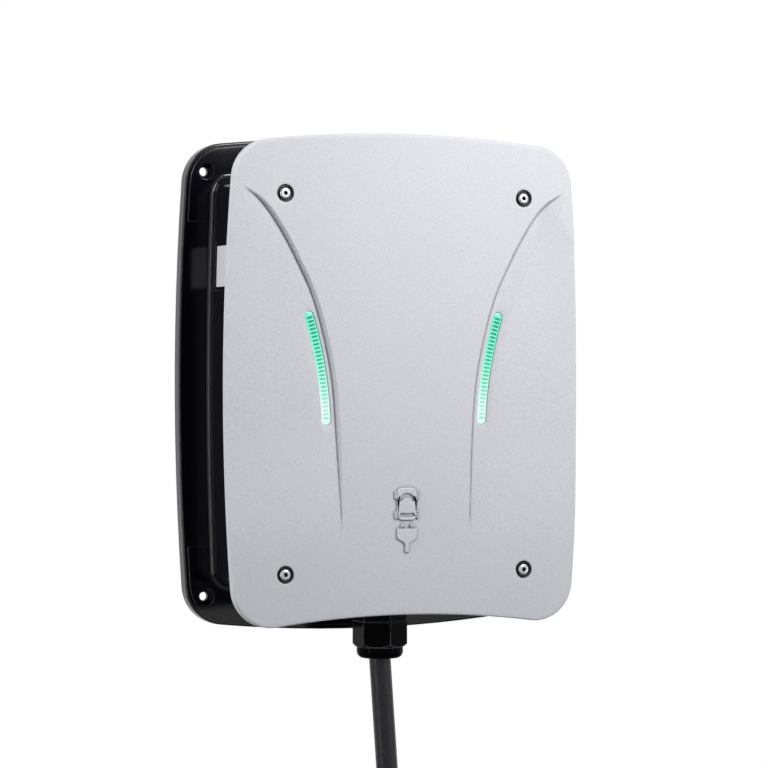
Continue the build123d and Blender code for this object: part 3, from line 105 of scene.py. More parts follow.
# Surfaces. Each finish is what the real piece is made of; lengths are in millimetres.
# mottle is the size of soft colour clouds, grain the size of the moulded or sprayed texture, and
# speck how much the grain lightens and darkens the colour. Edges are rounded by edge, and a
# pale highlight colour is painted along them; recess is the colour of painted shade in narrow
# corners.
# sheen is the pale bloom at a glancing angle that extruded rubber has.
plainFinish = {"metallic": 0.0, "specular": 0.5, "speck": 0.0, "edge": 0.0, "sheen": 0.0}
finishes = {
    # powder coat on pressed aluminium: a pale satin grey with a fine sprayed grain;
    # the real grain is about 0.3 mm and is drawn coarser so that it shows; its recess colour is
    # painted shade in the creases, round the sign and in the screw recesses
    "satinPowderCoat": {
        "colour": "cecfd3", "second": "cacbcf", "mottle": 60, "roughness": 0.42, "spread": 0.06,
        "grain": 1.1, "grainHeight": 0.03, "speck": 0.16, "specular": 0.2, "recess": "9899a1",
    },
    # moulded ABS: near black and glossy, from a polished mould, with a pale highlight painted along
    # its edges
    "mouldedAbs": {
        "colour": "08070f", "second": "0d0c15", "mottle": 45, "roughness": 0.12, "spread": 0.05,
        "grain": 0.8, "grainHeight": 0.0015, "specular": 0.34, "edge": 0.6, "paintedHighlight": "3c3a45",
    },
    # moulded polyamide: deep black, smooth on its flats, with a pale highlight painted along its
    # edges
    "mouldedPolyamide": {
        "colour": "010102", "second": "030304", "mottle": 20, "roughness": 0.16, "spread": 0.06,
        "grain": 0.8, "grainHeight": 0.002, "specular": 0.02, "edge": 1.3, "paintedHighlight": "8b8a95",
    },
    # extruded rubber sheath: near black, satin, softly clouded, paler at a glancing angle
    "extrudedRubber": {
        "colour": "040406", "second": "1c1b24", "mottle": 3.5, "roughness": 0.34, "spread": 0.1,
        "grain": 1.2, "grainHeight": 0.14, "speck": 1.2, "specular": 0.26, "sheen": 1.0,
    },
    # moulded rubber of seals, boots and caps: black and matt
    "mouldedRubber": {
        "colour": "17161a", "second": "1f1e22", "mottle": 12, "roughness": 0.62, "spread": 0.08,
        "grain": 0.7, "grainHeight": 0.015, "specular": 0.12, "edge": 0.5,
    },
    # moulded nylon of the screws' washers: dark grey, satin, with painted shade where the head
    # closes it in
    "mouldedNylon": {
        "colour": "3c3d42", "second": "34353a", "mottle": 3, "roughness": 0.4, "spread": 0.08,
        "grain": 0.8, "grainHeight": 0.004, "specular": 0.3, "edge": 0.2, "recess": "08080a",
    },
    # cold-headed stainless steel: bright, slightly rolled surface, with painted shade inside its
    # socket
    "headedStainless": {
        "colour": "bfc0c4", "second": "a6a7ab", "mottle": 3, "roughness": 0.24, "spread": 0.1,
        "grain": 0.8, "grainHeight": 0.006, "metallic": 1.0, "edge": 0.25, "recess": "08080a",
    },
    # zinc-plated steel: duller and faintly blue
    "zincPlate": {
        "colour": "b9bdc4", "second": "a6abb3", "mottle": 4, "roughness": 0.34, "spread": 0.12,
        "grain": 0.9, "grainHeight": 0.006, "metallic": 1.0, "edge": 0.2,
    },
    # turned brass of the threaded inserts: warm and bright
    "turnedBrass": {
        "colour": "d3ab5e", "second": "b98f45", "mottle": 4, "roughness": 0.28, "spread": 0.1,
        "grain": 0.5, "grainHeight": 0.01, "metallic": 1.0, "edge": 0.2,
    },
    # silver-plated copper of the contacts: pale and bright
    "silverPlate": {
        "colour": "e6e4dc", "second": "d2cfc4", "mottle": 5, "roughness": 0.22, "spread": 0.1,
        "grain": 0.8, "grainHeight": 0.004, "metallic": 1.0, "edge": 0.2,
    },
    # tinned steel can over the radio part: grey and bright
    "tinnedSteel": {
        "colour": "c8cbce", "second": "b4b8bc", "mottle": 8, "roughness": 0.3, "spread": 0.12,
        "grain": 1.0, "grainHeight": 0.006, "metallic": 1.0, "edge": 0.3,
    },
    # polyester label film: plain white, faintly glossy
    "labelFilm": {
        "colour": "d9d9db", "second": "cfcfd1", "mottle": 15, "roughness": 0.38, "spread": 0.06,
        "grain": 1.0, "grainHeight": 0.004,
    },
    # moulded polyamide of small coloured parts: satin
    "greyPolyamide": {
        "colour": "8a8c8e", "second": "7c7e80", "mottle": 14, "roughness": 0.45, "spread": 0.08,
        "grain": 0.5, "grainHeight": 0.01, "edge": 0.3,
    },
    "greenPolyamide": {
        "colour": "2f7a49", "second": "286b3f", "mottle": 14, "roughness": 0.42, "spread": 0.08,
        "grain": 0.5, "grainHeight": 0.01, "edge": 0.3,
    },
    "orangePolyamide": {
        "colour": "e0661b", "second": "cf5a14", "mottle": 10, "roughness": 0.4, "spread": 0.08,
        "grain": 0.5, "grainHeight": 0.01, "edge": 0.3,
    },
    "whitePolyamide": {
        "colour": "e4e2da", "second": "d8d6cd", "mottle": 10, "roughness": 0.4, "spread": 0.08,
        "grain": 0.5, "grainHeight": 0.01, "edge": 0.2,
    },
    # cast epoxy resin round a component: dark blue and glossy
    "pottedResin": {
        "colour": "1f2a4a", "second": "19233e", "mottle": 16, "roughness": 0.3, "spread": 0.08,
        "grain": 0.8, "grainHeight": 0.01, "edge": 0.3,
    },
}
# extruded PVC of the wires: satin and smooth, in the wiring colours
wireSurface = {"mottle": 8, "roughness": 0.4, "spread": 0.06, "grain": 0.5, "grainHeight": 0.01}
wireColours = {
    "brownPvc": ("5c3a22", "51331d"), "blackPvc": ("151517", "1c1c1e"),
    "greyPvc": ("85878a", "797b7e"), "bluePvc": ("2c55a3", "264a90"),
    "whitePvc": ("dcdcdc", "cfcfcf"),
}
for wireFinish, (mainColour, cloudColour) in wireColours.items():
    finishes[wireFinish] = {"colour": mainColour, "second": cloudColour, **wireSurface}

# Where a pale highlight is painted on edges and shade is painted into corners. The highlight
# ones are cosines of how far the surface turns, reach is in millimetres and the open ones are
# shares of open sky.
paintedLightAndEdges = {
    "paintedHighlightFrom": 0.99, "paintedHighlightFull": 0.85, "reach": 3.0, "openFrom": 0.97, "openFull": 0.68,
    "raySamples": 8, "bevelSamples": 6,
}


def surfaceTree(name):
    material = bpy.data.materials.new(name)
    material.use_nodes = True
    tree = material.node_tree
    tree.nodes.clear()
    spot = addNode(tree, "TexCoord").outputs["Object"]
    return material, tree, spot


def finishMaterial(name):
    finish = {**plainFinish, **finishes[name]}
    material, tree, spot = surfaceTree(name)
    clouds = addNode(tree, "TexNoise", {
        "Vector": spot, "Scale": 1000 / finish["mottle"], "Detail": 3.0,
    })
    colour = addNode(tree, "MixRGB", {
        "Fac": clouds.outputs["Fac"], "Color1": linearColour(finish["colour"]),
        "Color2": linearColour(finish["second"]),
    })
    smears = addNode(tree, "TexNoise", {
        "Vector": spot, "Scale": 1700 / finish["mottle"], "Detail": 4.0, "Roughness": 0.6,
    })
    rough = addNode(tree, "MapRange", {
        "Value": smears.outputs["Fac"], "From Min": 0.3, "From Max": 0.7,
        "To Min": finish["roughness"] - finish["spread"] / 2,
        "To Max": finish["roughness"] + finish["spread"] / 2,
    })
    grain = addNode(tree, "TexNoise", {
        "Vector": spot, "Scale": 1000 / finish["grain"], "Detail": 2.0,
    })
    shade = addNode(tree, "MapRange", {
        "Value": grain.outputs["Fac"], "From Min": 0.3, "From Max": 0.7,
        "To Min": 1 - finish["speck"] / 2, "To Max": 1 + finish["speck"] / 2,
    })
    surface = addNode(tree, "VectorMath", {
        0: colour.outputs["Color"], "Scale": shade.outputs["Result"],
    }, operation="SCALE").outputs["Vector"]
    bump = addNode(tree, "Bump", {
        "Height": grain.outputs["Fac"], "Strength": 1.0, "Distance": finish["grainHeight"] * mm,
    })
    if finish["edge"]:  # moulded and pressed edges are never dead sharp
        rounded = addNode(
            tree, "Bevel", {"Radius": finish["edge"] * mm}, samples=paintedLightAndEdges["bevelSamples"],
        )
        tree.links.new(rounded.outputs["Normal"], bump.inputs["Normal"])
    # a pale highlight painted along the edges, where the rounded normal turns away from the true
    # one
    if "paintedHighlight" in finish:
        facing = addNode(tree, "NewGeometry")
        turned = addNode(tree, "VectorMath", {
            0: rounded.outputs["Normal"], 1: facing.outputs["Normal"],
        }, operation="DOT_PRODUCT")
        paintedHighlightShare = addNode(tree, "MapRange", {
            "Value": turned.outputs["Value"], "From Min": paintedLightAndEdges["paintedHighlightFrom"],
            "From Max": paintedLightAndEdges["paintedHighlightFull"],
        })
        surface = addNode(tree, "MixRGB", {
            "Fac": paintedHighlightShare.outputs["Result"], "Color1": surface,
            "Color2": linearColour(finish["paintedHighlight"]),
        }).outputs["Color"]
    # painted shade: the colour darkens where ambient occlusion finds a narrow corner closed in
    if "recess" in finish:
        openness = addNode(
            tree, "AmbientOcclusion", {"Distance": paintedLightAndEdges["reach"] * mm},
            samples=paintedLightAndEdges["raySamples"],
        )
        depth = addNode(tree, "MapRange", {
            "Value": openness.outputs["AO"], "From Min": paintedLightAndEdges["openFrom"],
            "From Max": paintedLightAndEdges["openFull"],
        })
        surface = addNode(tree, "MixRGB", {
            "Fac": depth.outputs["Result"], "Color1": surface,
            "Color2": linearColour(finish["recess"]),
        }).outputs["Color"]
    shader = addNode(tree, "BsdfPrincipled", {
        "Base Color": surface, "Roughness": rough.outputs["Result"],
        "Metallic": finish["metallic"], "Specular IOR Level": finish["specular"],
        "Normal": bump.outputs["Normal"], "Sheen Weight": finish["sheen"], "Sheen Roughness": 0.3,
    })
    addNode(tree, "OutputMaterial", {"Surface": shader.outputs["BSDF"]})
    return material


materials = {name: finishMaterial(name) for name in finishes}


def circuitBoardMaterial():
    # glass epoxy under green solder mask: faint raised tracks, satin
    material, tree, spot = surfaceTree("solderMaskBoard")
    tracks = addNode(tree, "TexBrick", {
        "Vector": spot, "Scale": 250.0, "Mortar Size": 0.03,
        "Color1": linearColour("1f5b34"), "Color2": linearColour("236339"),
        "Mortar": linearColour("3a8052"),
    })
    bump = addNode(tree, "Bump", {"Height": tracks.outputs["Fac"], "Distance": 0.03 * mm})
    shader = addNode(tree, "BsdfPrincipled", {
        "Base Color": tracks.outputs["Color"], "Roughness": 0.35, "Normal": bump.outputs["Normal"],
    })
    addNode(tree, "OutputMaterial", {"Surface": shader.outputs["BSDF"]})
    return material


def wovenStrapMaterial():
    # woven polyamide strap: black, matt, with 1.2 mm threads
    material, tree, spot = surfaceTree("wovenPolyamide")
    warp = addNode(tree, "TexWave", {"Vector": spot, "Scale": 130.0}, bands_direction="X")
    weft = addNode(tree, "TexWave", {"Vector": spot, "Scale": 130.0}, bands_direction="Z")
    weave = addNode(tree, "Math", {
        0: warp.outputs["Fac"], 1: weft.outputs["Fac"],
    }, operation="MULTIPLY")
    colour = addNode(tree, "MixRGB", {
        "Fac": weave.outputs[0], "Color1": linearColour("0c0c0e"), "Color2": linearColour("26262a"),
    })
    bump = addNode(tree, "Bump", {"Height": weave.outputs[0], "Distance": 0.25 * mm})
    shader = addNode(tree, "BsdfPrincipled", {
        "Base Color": colour.outputs["Color"], "Roughness": 0.85, "Sheen Weight": 0.2,
        "Normal": bump.outputs["Normal"],
    })
    addNode(tree, "OutputMaterial", {"Surface": shader.outputs["BSDF"]})
    return material


def stripedPvcMaterial():
    # extruded PVC of the earth wire: green with yellow stripes, satin
    material, tree, spot = surfaceTree("greenYellowPvc")
    stripe = addNode(tree, "TexWave", {"Vector": spot, "Scale": 60.0}, bands_direction="DIAGONAL")
    choice = addNode(tree, "MapRange", {
        "Value": stripe.outputs["Fac"], "From Min": 0.45, "From Max": 0.55,
    })
    colour = addNode(tree, "MixRGB", {
        "Fac": choice.outputs["Result"], "Color1": linearColour("2f8f3a"),
        "Color2": linearColour("e3c81f"),
    })
    shader = addNode(tree, "BsdfPrincipled", {
        "Base Color": colour.outputs["Color"], "Roughness": 0.4,
    })
    addNode(tree, "OutputMaterial", {"Surface": shader.outputs["BSDF"]})
    return material


def litAcrylicMaterial(name, ramp, lightHeights, roughness, specular):
    # clear acrylic lit from behind by green diodes: paler towards its foot, where they are nearer
    material, tree, spot = surfaceTree(name)
    height = addNode(tree, "SeparateXYZ", {"Vector": spot})
    level = addNode(tree, "MapRange", {
        "Value": height.outputs["Z"], "From Min": lightHeights[0] * mm,
        "From Max": lightHeights[1] * mm,
    })
    colours = addNode(tree, "ValToRGB", {"Fac": level.outputs["Result"]})
    steps = colours.color_ramp.elements
    while len(steps) < len(ramp):
        steps.new(0.5)
    for step, (position, hexText) in zip(steps, ramp):
        step.position = position
        step.color = linearColour(hexText)
    shader = addNode(tree, "BsdfPrincipled", {
        "Base Color": linearColour("0c3326"), "Roughness": roughness, "IOR": 1.49,
        "Specular IOR Level": specular,
        "Emission Color": colours.outputs["Color"], "Emission Strength": 0.93,
    })
    addNode(tree, "OutputMaterial", {"Surface": shader.outputs["BSDF"]})
    return material


materials["solderMaskBoard"] = circuitBoardMaterial()
materials["wovenPolyamide"] = wovenStrapMaterial()
materials["greenYellowPvc"] = stripedPvcMaterial()
print("materials:", len(materials))

nodeFinish = {
    "mouldedAbs": [
        "back_housing", "housing_cover", "panel_spacers", "strain_clamp", "current_selector",
        "relay_left", "relay_right", "power_supply", "connector_shell_left",
        "connector_shell_right", "contact_carrier", "contact_plate", "contact_sleeves",
    ],
    "mouldedPolyamide": ["gland_body", "gland_locknut", "gland_nut"],
    "mouldedRubber": [
        "cover_seal", "gland_washer", "gland_rubber", "supply_grommet", "connector_boot",
        "connector_cap",
    ],
    "extrudedRubber": ["cable_entry", "cable_run", "cable_coil", "cable_tail"],
    "mouldedNylon": ["panel_washers"],
    "headedStainless": ["panel_screws"],
    "zincPlate": ["cover_screws", "board_screws", "clamp_screws", "shell_screws"],
    "turnedBrass": ["panel_inserts"],
    "silverPlate": ["connector_contacts"],
    "tinnedSteel": ["controller_module"],
    "labelFilm": ["side_label"],
    "satinPowderCoat": ["front_panel"],
    "solderMaskBoard": ["main_board", "led_board_left", "led_board_right"],
    "greyPolyamide": ["supply_terminal"],
    "greenPolyamide": ["output_terminal", "light_guide_left", "light_guide_right"],
    "orangePolyamide": [
        "terminal_lever_l1", "terminal_lever_l2", "terminal_lever_l3",
        "terminal_lever_neutral", "terminal_lever_earth",
    ],
    "whitePolyamide": ["selector_knob"],
    "pottedResin": ["capacitor", "current_sensor"],
    "brownPvc": ["wire_l1"],
    "blackPvc": ["wire_l2"],
    "greyPvc": ["wire_l3"],
    "bluePvc": ["wire_neutral"],
    "whitePvc": ["pilot_wire"],
    "greenYellowPvc": ["wire_earth"],
    "wovenPolyamide": ["cable_tie_1", "cable_tie_2"],
}
for finishName, members in nodeFinish.items():
    for member in members:
        for materialSlot in nodes[member].material_slots:
            materialSlot.material = materials[finishName]
print("nodes dressed:", sum(len(members) for members in nodeFinish.values()))


# Camera: level, a little to the left of the charger, with a long lens.
camera = {
    "place": (-1.0389, -2.5041, 0.0), "towards": (0.3923, 0.9198, 0.0),
    "lens": 160.3, "sensor": 36.0,
}


def addCamera():
    data = bpy.data.cameras.new("camera")
    data.lens = camera["lens"]
    data.sensor_width = camera["sensor"]
    viewer = bpy.data.objects.new("camera", data)
    viewer.location = camera["place"]
    viewer.rotation_euler = Vector(camera["towards"]).to_track_quat("-Z", "Y").to_euler()
    scene.collection.objects.link(viewer)
    scene.camera = viewer


addCamera()

# Charging lead: from the gland down into a neat coil, and out to the connector.
lead = {
    "diameter": 17.0, "depth": 60.0, "exitZ": -212.55, "slope": 0.0705, "holdBelow": 102.0,
    "turnZ": -350.0, "coilRadius": 102.0, "strands": 8, "strandRing": 22.7,
    "startAngle": 45.0, "startPhase": 20.0, "turns": 7.125, "pointsPerTurn": 16,
    "cutIn": 0.9856, "tailLength": 134.0, "realLength": 4.90,
}


def coilPoint(angle, centreX, centreZ):
    # angle from twelve o'clock towards the left; the strand climbs round the bundle's ring
    phase = lead["startPhase"] + (angle - lead["startAngle"]) / lead["strands"]
    ring = lead["strandRing"]
    radius = (lead["coilRadius"] + ring * math.cos(math.radians(phase))) / lead["cutIn"]
    depth = lead["depth"] + ring * math.sin(math.radians(phase))
    turn = math.radians(angle)
    return place(centreX - radius * math.sin(turn), depth, centreZ + radius * math.cos(turn))


def leadRoute():
    def onSlope(z):
        return place((lead["exitZ"] - z) * lead["slope"], lead["depth"], z)

    start = math.radians(lead["startAngle"])
    outer = lead["coilRadius"] + lead["strandRing"] * math.cos(math.radians(lead["startPhase"]))
    centreX = (lead["exitZ"] - lead["turnZ"]) * lead["slope"]
    centreZ = lead["turnZ"] - outer / math.cos(start)
    heights = (lead["exitZ"], lead["exitZ"] - lead["holdBelow"], lead["turnZ"])
    points = [onSlope(z) for z in heights]
    step = 360 / lead["pointsPerTurn"]
    for i in range(int(lead["turns"] * lead["pointsPerTurn"]) + 1):
        points.append(coilPoint(lead["startAngle"] + i * step, centreX, centreZ))
    last = points[-1]
    points.append(last - Vector((0, 0, lead["tailLength"] * mm)))
    return points


def addLead():
    curve = bpy.data.curves.new("chargingLead", "CURVE")
    curve.dimensions = "3D"
    curve.bevel_depth = lead["diameter"] / 2 * mm
    curve.bevel_resolution = 5
    curve.use_fill_caps = True
    route = leadRoute()
    spline = curve.splines.new("NURBS")
    spline.points.add(len(route) - 1)
    for control, point in zip(spline.points, route):
        control.co = (*point, 1.0)
    spline.order_u = 3
    spline.use_endpoint_u = True
    spline.resolution_u = 6
    piece = bpy.data.objects.new("chargingLead", curve)
    scene.collection.objects.link(piece)
    curve.materials.append(materials["extrudedRubber"])
    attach(piece, "charger")
    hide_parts("cable_run", "cable_coil", "cable_tail")
    print("lead:", len(route), "control points")


addLead()

# Front panel: a pressed sheet with a rounded rim, creased wings, screw recesses and light slots.
panel = {
    "halfWidth": 146.4, "top": 190.7, "bottom": -176.0, "sideBow": 8.5, "topBow": 9.5,
    "bottomHollow": 12.0, "cornerRadius": 31.0, "face": 112.0, "sheet": 2.0, "back": 104.0,
    "edgeRadius": 1.5, "lipRadius": 0.5,
    "screwX": 99.0, "screwZ": 143.5, "recessRadius": 6.75, "recessDepth": 3.2,
    "recessRim": 0.5, "seatRim": 0.4, "holeRadius": 2.7, "cupRadius": 8.75,
    # the crease: how far out from the middle, and the height
    "crease": [
        (52.6, -129.0), (53.2, -82.0), (55.5, -23.5), (60.3, 16.5), (72.0, 61.5),
        (86.5, 93.4), (102.0, 120.5), (116.2, 138.2), (135.0, 149.5),
    ],
    "wingDrop": 3.5, "tipFade": 26.0, "footFade": 105.0, "creaseRun": 0.5, "creaseSoft": 0.4,
    "grooveDepth": 0.4, "grooveHalf": 0.4, "grooveShare": 6.0, "tipSpread": 1.5,
}
light = {
    "top": 57.7, "bottom": -30.0, "width": 7.0, "gap": 0.3, "slotRim": 0.35,
    "fromCrease": 9.3, "rim": 0.6, "crown": 0.25, "backDepth": 98.0, "sunk": 0.1,
    "ribs": 27, "ribHalfLength": 2.6, "ribHalfWidth": 0.95, "ribHeight": 0.3, "ribSunk": 0.04,
    "ribPoints": 6, "ribStations": (-1, -0.96, -0.85, -0.6, 0, 0.6, 0.85, 0.96, 1),
}
# The mesh of both: an even lattice, with rows of points along the creases, inside the rim, round
# the screws and along the lights. A gap is the least distance to points that are there already,
# and roundMiddle is how far the middle of a small rounded edge stands off, for a radius of 1.
grid = {
    "lattice": 5.0, "backLattice": 10.0, "latticeGap": 0.62, "latticeRow": 0.87, "cell": 2,
    "frontRows": (
        -3.0, -1.6, -0.9, -0.45, -0.22, 0.0, 0.22, 0.45, 0.8, 1.15, 1.5, 1.8, 2.1, 2.35, 2.6, 2.85,
        3.1, 3.8, 5.2,
    ),
    "frontStep": 2.2, "backRows": (0.0, 1.3, 2.6), "backStep": 4.0, "creaseGap": 0.19,
    "rimRows": (3.6, 6.0, 10.0), "rimGap": 1.2, "screwRows": (8.4, 10.4), "screwGap": 0.8,
    "lightLattice": 2.0, "lightRows": (-1.8, -0.9, 0.0, 0.9, 1.8), "lightGap": 0.5,
    "creasePoints": 80, "edgePoints": 40, "sidePoints": 90, "cornerPoints": 18,
    "circlePoints": 40, "screwRowPoints": 28,
    "lightPoints": 44, "lightEndPoints": 10, "lightRowPoints": 60, "roundMiddle": 0.3,
}


def creaseLine():
    knots = [Vector(point) for point in panel["crease"]]
    run = [knots[0] * 2 - knots[1]] + knots + [knots[-1] * 2 - knots[-2]]
    line = []
    for before, start, end, after in zip(run, run[1:], run[2:], run[3:]):
        leave, arrive = start + (end - before) / 6, end - (after - start) / 6
        line += geometry.interpolate_bezier(start, leave, arrive, end, grid["creasePoints"])[:-1]
    return line + [knots[-1]]


crease = creaseLine()
creaseRun = [0.0]
for behind, ahead in zip(crease, crease[1:]):
    creaseRun.append(creaseRun[-1] + (ahead - behind).length)
creaseTree = kdtree.KDTree(len(crease))
for number, spot in enumerate(crease):
    creaseTree.insert((spot.x, spot.y, 0), number)
creaseTree.balance()


def creaseSide(index):  # the direction from the crease into the wing
    along = crease[min(index + 1, len(crease) - 1)] - crease[max(index - 1, 0)]
    return Vector((along.y, -along.x)).normalized()


def panelFace(x, z, groove=0.0):
    # depth of the panel's front surface: flat in the middle, pressed back in the wings, with a
    # fine groove, as deep as groove says, along each edge of the step. The step fades out at both
    # ends of the crease, and the grooves fade with it where it is under a sixth of its drop.
    spot = Vector((abs(x), z))
    index = creaseTree.find((spot.x, spot.y, 0))[1]
    into = (spot - crease[index]).dot(creaseSide(index))
    drop = panel["wingDrop"] * ease(creaseRun[index] / panel["footFade"])
    fade = panel["tipFade"] + panel["tipSpread"] * max(into, 0)
    drop *= ease((creaseRun[-1] - creaseRun[index]) / fade)
    run = drop * panel["creaseRun"] + panel["creaseSoft"]
    share = min(panel["grooveShare"] * drop / panel["wingDrop"], 1.0)
    near = min(abs(into), abs(into - run)) / panel["grooveHalf"]
    return panel["face"] - drop * ease(into / run) - groove * share * max(1 - near, 0.0)


def circleThrough(a, b, c):
    a, b, c = Vector(a), Vector(b), Vector(c)
    ab, ac = b - a, c - a
    twice = 2 * (ab.x * ac.y - ab.y * ac.x)
    centre = a + Vector((
        ac.y * ab.length_squared - ab.y * ac.length_squared,
        ab.x * ac.length_squared - ac.x * ab.length_squared,
    )) / twice
    return centre, (a - centre).length


def arcPoints(centre, radius, start, end, count, outward=1):
    # points on an arc, each with its outward direction
    first = math.atan2(start.y, start.x)
    sweep = math.atan2(end.y, end.x) - first
    sweep -= 2 * math.pi * round(sweep / (2 * math.pi))
    points = []
    for i in range(count):
        angle = first + sweep * i / count
        direction = Vector((math.cos(angle), math.sin(angle)))
        points.append((centre + direction * radius, direction * outward))
    return points


def panelOutline():
    cornerX = panel["halfWidth"] - panel["sideBow"]
    cornerTop = panel["top"] - panel["topBow"]
    cornerLow = panel["bottom"] - panel["bottomHollow"]
    topMid, topR = circleThrough((-cornerX, cornerTop), (0, panel["top"]), (cornerX, cornerTop))
    sideMid, sideR = circleThrough(
        (cornerX, cornerTop), (panel["halfWidth"], 0), (cornerX, cornerLow),
    )
    lowMid, lowR = circleThrough((-cornerX, cornerLow), (0, panel["bottom"]), (cornerX, cornerLow))
    r = panel["cornerRadius"]

    def cornerAt(middle, radius, near):
        both = geometry.intersect_sphere_sphere_2d(middle, radius, sideMid, sideR - r)
        return min(both, key=lambda spot: (spot - near).length)

    upper = cornerAt(topMid, topR - r, Vector((cornerX - r, cornerTop - r)))
    lower = cornerAt(lowMid, lowR + r, Vector((cornerX - r, cornerLow + r)))
    up = Vector((0, 1))
    edge, corner = grid["edgePoints"], grid["cornerPoints"]
    right = arcPoints(topMid, topR, up, upper - topMid, edge)
    right += arcPoints(upper, r, upper - topMid, upper - sideMid, corner)
    right += arcPoints(sideMid, sideR, upper - sideMid, lower - sideMid, grid["sidePoints"])
    right += arcPoints(lower, r, lower - sideMid, lowMid - lower, corner)
    right += arcPoints(lowMid, lowR, lower - lowMid, up, edge, outward=-1)
    right.append((Vector((0, panel["bottom"])), Vector((0, -1))))
    left = [(Vector((-p.x, p.y)), Vector((-n.x, n.y))) for p, n in reversed(right[1:-1])]
    return right + left


outline = panelOutline()
screwPlaces = [
    Vector((side * panel["screwX"], end * panel["screwZ"])) for side in (-1, 1) for end in (-1, 1)
]


def insetOutline(inset):
    return [point - outward * inset for point, outward in outline]


def circleLoop(middle, radius, count=grid["circlePoints"]):
    turns = [2 * math.pi * i / count for i in range(count)]
    return [middle + Vector((math.cos(t), math.sin(t))) * radius for t in turns]


def lightArc():
    # centre, radius and end directions of the right light's middle line
    half = light["width"] / 2
    places = []
    middle = (light["bottom"] + light["top"]) / 2
    for height in (light["bottom"] + half, middle, light["top"] - half):
        index = min(range(len(crease)), key=lambda i: abs(crease[i].y - height))
        places.append(crease[index] + creaseSide(index) * light["fromCrease"])
    centre, radius = circleThrough(*places)
    return centre, radius, places[0] - centre, places[2] - centre


lightCentre, lightRadius, lightFoot, lightHead = lightArc()


def slotLoop(side, half):
    # a closed loop round the light's middle line, with rounded ends
    loop = []
    for way, start, end in ((1, lightFoot, lightHead), (-1, lightHead, lightFoot)):
        radius = lightRadius + way * half
        loop += [p for p, n in arcPoints(lightCentre, radius, start, end, grid["lightPoints"])]
        tip, outward = lightCentre + end, end.normalized()
        upwards = Vector((outward.y, -outward.x))
        upwards *= way if upwards.y > 0 else -way
        outward *= way
        for i in range(grid["lightEndPoints"]):
            turn = math.pi * i / grid["lightEndPoints"]
            loop.append(tip + outward * half * math.cos(turn) + upwards * half * math.sin(turn))
    return [Vector((side * p.x, p.y)) for p in loop]


def insideLoop(point, loop):
    inside = False
    for a, b in zip(loop, loop[1:] + loop[:1]):
        if (a.y > point.y) != (b.y > point.y):
            if point.x < a.x + (point.y - a.y) * (b.x - a.x) / (b.y - a.y):
                inside = not inside
    return inside


def layFace(mesh, loops, guides, spacing, depthAt):
    # a triangulated face inside the first loop, open inside the others; returns the loops' verts
    points, edges, spans, cells = [], [], {}, {}
    size = grid["cell"]

    def put(point):
        points.append(Vector(point))
        cell = int(point.x // size), int(point.y // size)
        cells.setdefault(cell, []).append(points[-1])

    def isFree(point, gap):
        column, row, reach = int(point.x // size), int(point.y // size), int(gap // size) + 1
        for i in range(column - reach, column + reach + 1):
            for j in range(row - reach, row + reach + 1):
                for other in cells.get((i, j), ()):
                    if (other - point).length < gap:
                        return False
        return True

    for name, loop in loops.items():
        first = len(points)
        for point in loop:
            put(point)
        edges += [(first + i, first + (i + 1) % len(loop)) for i in range(len(loop))]
        spans[name] = (first, len(loop))
    for line, gap in guides:
        for point in line:
            if isFree(point, gap):
                put(point)
    names = list(loops)
    outer = loops[names[0]]
    lowX, highX = min(p.x for p in outer), max(p.x for p in outer)
    lowZ, highZ = min(p.y for p in outer), max(p.y for p in outer)
    row = 0
    z = lowZ
    while z < highZ:
        x = lowX + (row % 2) * spacing / 2
        while x < highX:
            if isFree(Vector((x, z)), spacing * grid["latticeGap"]):
                put(Vector((x, z)))
            x += spacing
        z += spacing * grid["latticeRow"]
        row += 1
    flat, _, faces, origins, _, _ = geometry.delaunay_2d_cdt(points, edges, [], 1, 1e-4)
    made = {}
    verts = [mesh.verts.new(place(p.x, depthAt(p.x, p.y), p.y)) for p in flat]
    for vert, sources in zip(verts, origins):
        for source in sources:
            made[source] = vert
    holes = [loops[name] for name in names[1:]]
    boxes = []
    for hole in holes:
        across, up = [p.x for p in hole], [p.y for p in hole]
        boxes.append((min(across), max(across), min(up), max(up)))
    for face in faces:
        middle = sum((flat[i] for i in face), Vector((0, 0))) / len(face)
        hidden = False
        for hole, (x0, x1, z0, z1) in zip(holes, boxes):
            if x0 < middle.x < x1 and z0 < middle.y < z1 and insideLoop(middle, hole):
                hidden = True
        if not hidden:
            mesh.faces.new([verts[i] for i in face])
    for vert in verts:
        if not vert.link_faces:
            mesh.verts.remove(vert)
    return {name: [made[first + i] for i in range(count)] for name, (first, count) in spans.items()}


def addRing(mesh, before, loop, depths):
    # a new ring of verts joined to the one before it
    ring = [mesh.verts.new(place(p.x, depth, p.y)) for p, depth in zip(loop, depths)]
    joinRings(mesh, before, ring)
    return ring


def joinRings(mesh, first, second):
    count = len(first)
    for i in range(count):
        j = (i + 1) % count
        mesh.faces.new((first[i], first[j], second[j], second[i]))


def creaseGuides(offsets, step):
    lines = []
    for side in (-1, 1):
        for offset in offsets:
            line = []
            travelled = -step
            for index, spot in enumerate(crease):
                if creaseRun[index] - travelled >= step:
                    travelled = creaseRun[index]
                    moved = spot + creaseSide(index) * offset
                    line.append(Vector((side * moved.x, moved.y)))
            lines.append((line, grid["creaseGap"]))
    return lines


